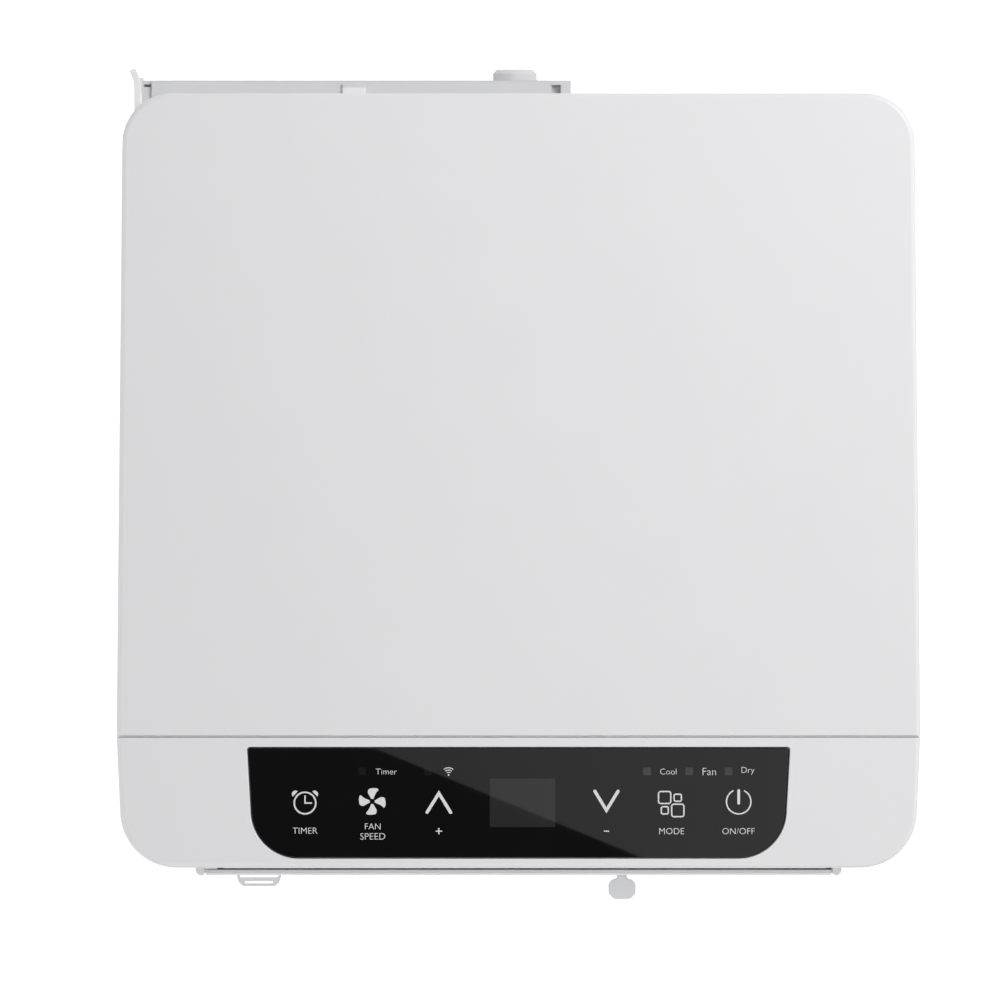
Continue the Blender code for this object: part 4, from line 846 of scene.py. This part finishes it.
# The coil blocks take the darkened fin metal: painted shade.
PAINTED.update({name: COIL_DEPTH_SHADE for name in ("evaporator_coil", "condenser_coil")})
for name, obj in nodes.items():
    look = PAINTED.get(name, LOOKS[slots[name]])
    obj.data.materials.clear()
    obj.data.materials.append(look)
    if name in replaced:
        continue
    width = EDGE.get(slots[name])
    if width is None:
        continue
    old_normals = obj.data.attributes.get("custom_normal")
    if old_normals is not None:
        obj.data.attributes.remove(old_normals)
    weld = obj.modifiers.new("weld", "WELD")
    weld.merge_threshold = 0.00001
    flat = obj.modifiers.new("flat_faces", "DECIMATE")
    flat.decimate_type = "DISSOLVE"
    flat.angle_limit = math.radians(0.6)
    round_edges(obj, width, 2, 40)

# ---- floor, light and camera ---------------------------------------------------------------
def stage_mesh(name, points, look):
    mesh = bpy.data.meshes.new(name)
    mesh.from_pydata(points, [], [tuple(range(len(points)))])
    mesh.materials.append(look)
    made = bpy.data.objects.new(name, mesh)
    bpy.context.scene.collection.objects.link(made)
    made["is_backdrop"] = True
    return made


floor_look, tree, shader = new_material("floor_look")
shader.inputs["Base Color"].default_value = (0.8, 0.8, 0.8, 1)
shader.inputs["Roughness"].default_value = 0.9
shader.inputs["Emission Color"].default_value = (1, 1, 1, 1)
path = add_node(tree, "ShaderNodeLightPath")
shown = ranged(tree, path.outputs["Is Camera Ray"], 0.25, 0.7, 0.0, 1.0)
tree.links.new(shown, shader.inputs["Emission Strength"])
FLOOR = 8.0  # half of its side, in metres
corners = ((-FLOOR, -FLOOR), (FLOOR, -FLOOR), (FLOOR, FLOOR), (-FLOOR, FLOOR))
stage_mesh("floor", [(x, y, 0) for x, y in corners], floor_look)

CAMERA_X = -0.0082
CAMERA_Y = -0.0086
CAMERA_ABOVE = 17.17
TOP = 0.703  # the cover, in metres
FLAG_HEIGHT = 1.0
GLOW_HEIGHT = 1.2


def mirrored(x, y, height):
    """Where the camera's view of a point on the glass goes, that far above it."""
    share = 1 + height / CAMERA_ABOVE
    return ((x - CAMERA_X) * share + CAMERA_X, (y - CAMERA_Y) * share + CAMERA_Y, TOP + height)


def glossy_only(made):
    made.visible_camera = False
    made.visible_diffuse = False
    made.visible_shadow = False
    made.visible_transmission = False
    made.visible_volume_scatter = False


flag_look, tree, shader = new_material("flag_look")
shader.inputs["Base Color"].default_value = (0.0, 0.0, 0.0, 1)
shader.inputs["Specular IOR Level"].default_value = 0.0
shader.inputs["Roughness"].default_value = 1.0
corners = ((-0.1490, -0.0832), (-0.1490, -0.21), (0.0996, -0.21), (0.0996, -0.1850))
points = [mirrored(x, y, FLAG_HEIGHT) for x, y in corners]
glossy_only(stage_mesh("flag", points, flag_look))

glow_look, tree, shader = new_material("glow_look")
shader.inputs["Base Color"].default_value = (0.0, 0.0, 0.0, 1)
shader.inputs["Emission Color"].default_value = (1, 1, 1, 1)
split = add_node(tree, "ShaderNodeSeparateXYZ")
place = add_node(tree, "ShaderNodeTexCoord")
tree.links.new(place.outputs["Object"], split.inputs["Vector"])
fade = ranged(tree, split.outputs["X"], 0.44, 0.74, -0.12, 0.14)
tree.links.new(fade, shader.inputs["Emission Strength"])
corners = ((-0.2, -0.2), (0.2, -0.2), (0.2, -0.1), (-0.2, -0.1))
points = [mirrored(x, y, GLOW_HEIGHT) for x, y in corners]
glossy_only(stage_mesh("glow", points, glow_look))

world = bpy.data.worlds.new("studio")
bpy.context.scene.world = world
world.use_nodes = True
tree = world.node_tree
background = tree.nodes["Background"]
background.inputs["Color"].default_value = (0.985, 0.99, 1.0, 1)
path = add_node(tree, "ShaderNodeLightPath")
sky = add_node(tree, "ShaderNodeTexCoord")
split = add_node(tree, "ShaderNodeSeparateXYZ")
tree.links.new(sky.outputs["Generated"], split.inputs["Vector"])
height = ranged(tree, split.outputs["Z"], 1.15, 0.27, 0.0, 0.6)
seen = add_node(tree, "ShaderNodeMix")
tree.links.new(path.outputs["Is Camera Ray"], seen.inputs["Factor"])
tree.links.new(height, seen.inputs["A"])
seen.inputs["B"].default_value = 1.0
tree.links.new(seen.outputs["Result"], background.inputs["Strength"])


def area_light(name, place, target, size, power):
    light = bpy.data.lights.new(name, "AREA")
    light.shape = "DISK"
    light.size = size
    light.energy = power
    made = bpy.data.objects.new(name, light)
    made.location = place
    made.rotation_euler = (Vector(target) - Vector(place)).to_track_quat("-Z", "Y").to_euler()
    made.visible_camera = False
    bpy.context.scene.collection.objects.link(made)
    return made


area_light("key", (0.8, 0.7, 1.9), (0, 0, 0.6), 0.9, 16.0)
area_light("front_fill", (0.15, -1.9, 2.0), (0, 0, 0.5), 1.2, 13.0)
area_light("left_fill", (-2.1, -0.4, 0.9), (0, 0, 0.5), 1.2, 9.0)

camera_data = bpy.data.cameras.new("camera")
camera_data.sensor_width = 36.0
camera_data.lens = 1400.0
camera_data.clip_start = 0.5
camera_data.clip_end = 200.0
camera = bpy.data.objects.new("camera", camera_data)
camera.location = (CAMERA_X, CAMERA_Y, TOP + CAMERA_ABOVE)
bpy.context.scene.collection.objects.link(camera)
bpy.context.scene.camera = camera
bpy.context.scene.view_settings.view_transform = "Standard"

bpy.context.view_layer.update()
low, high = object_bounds()
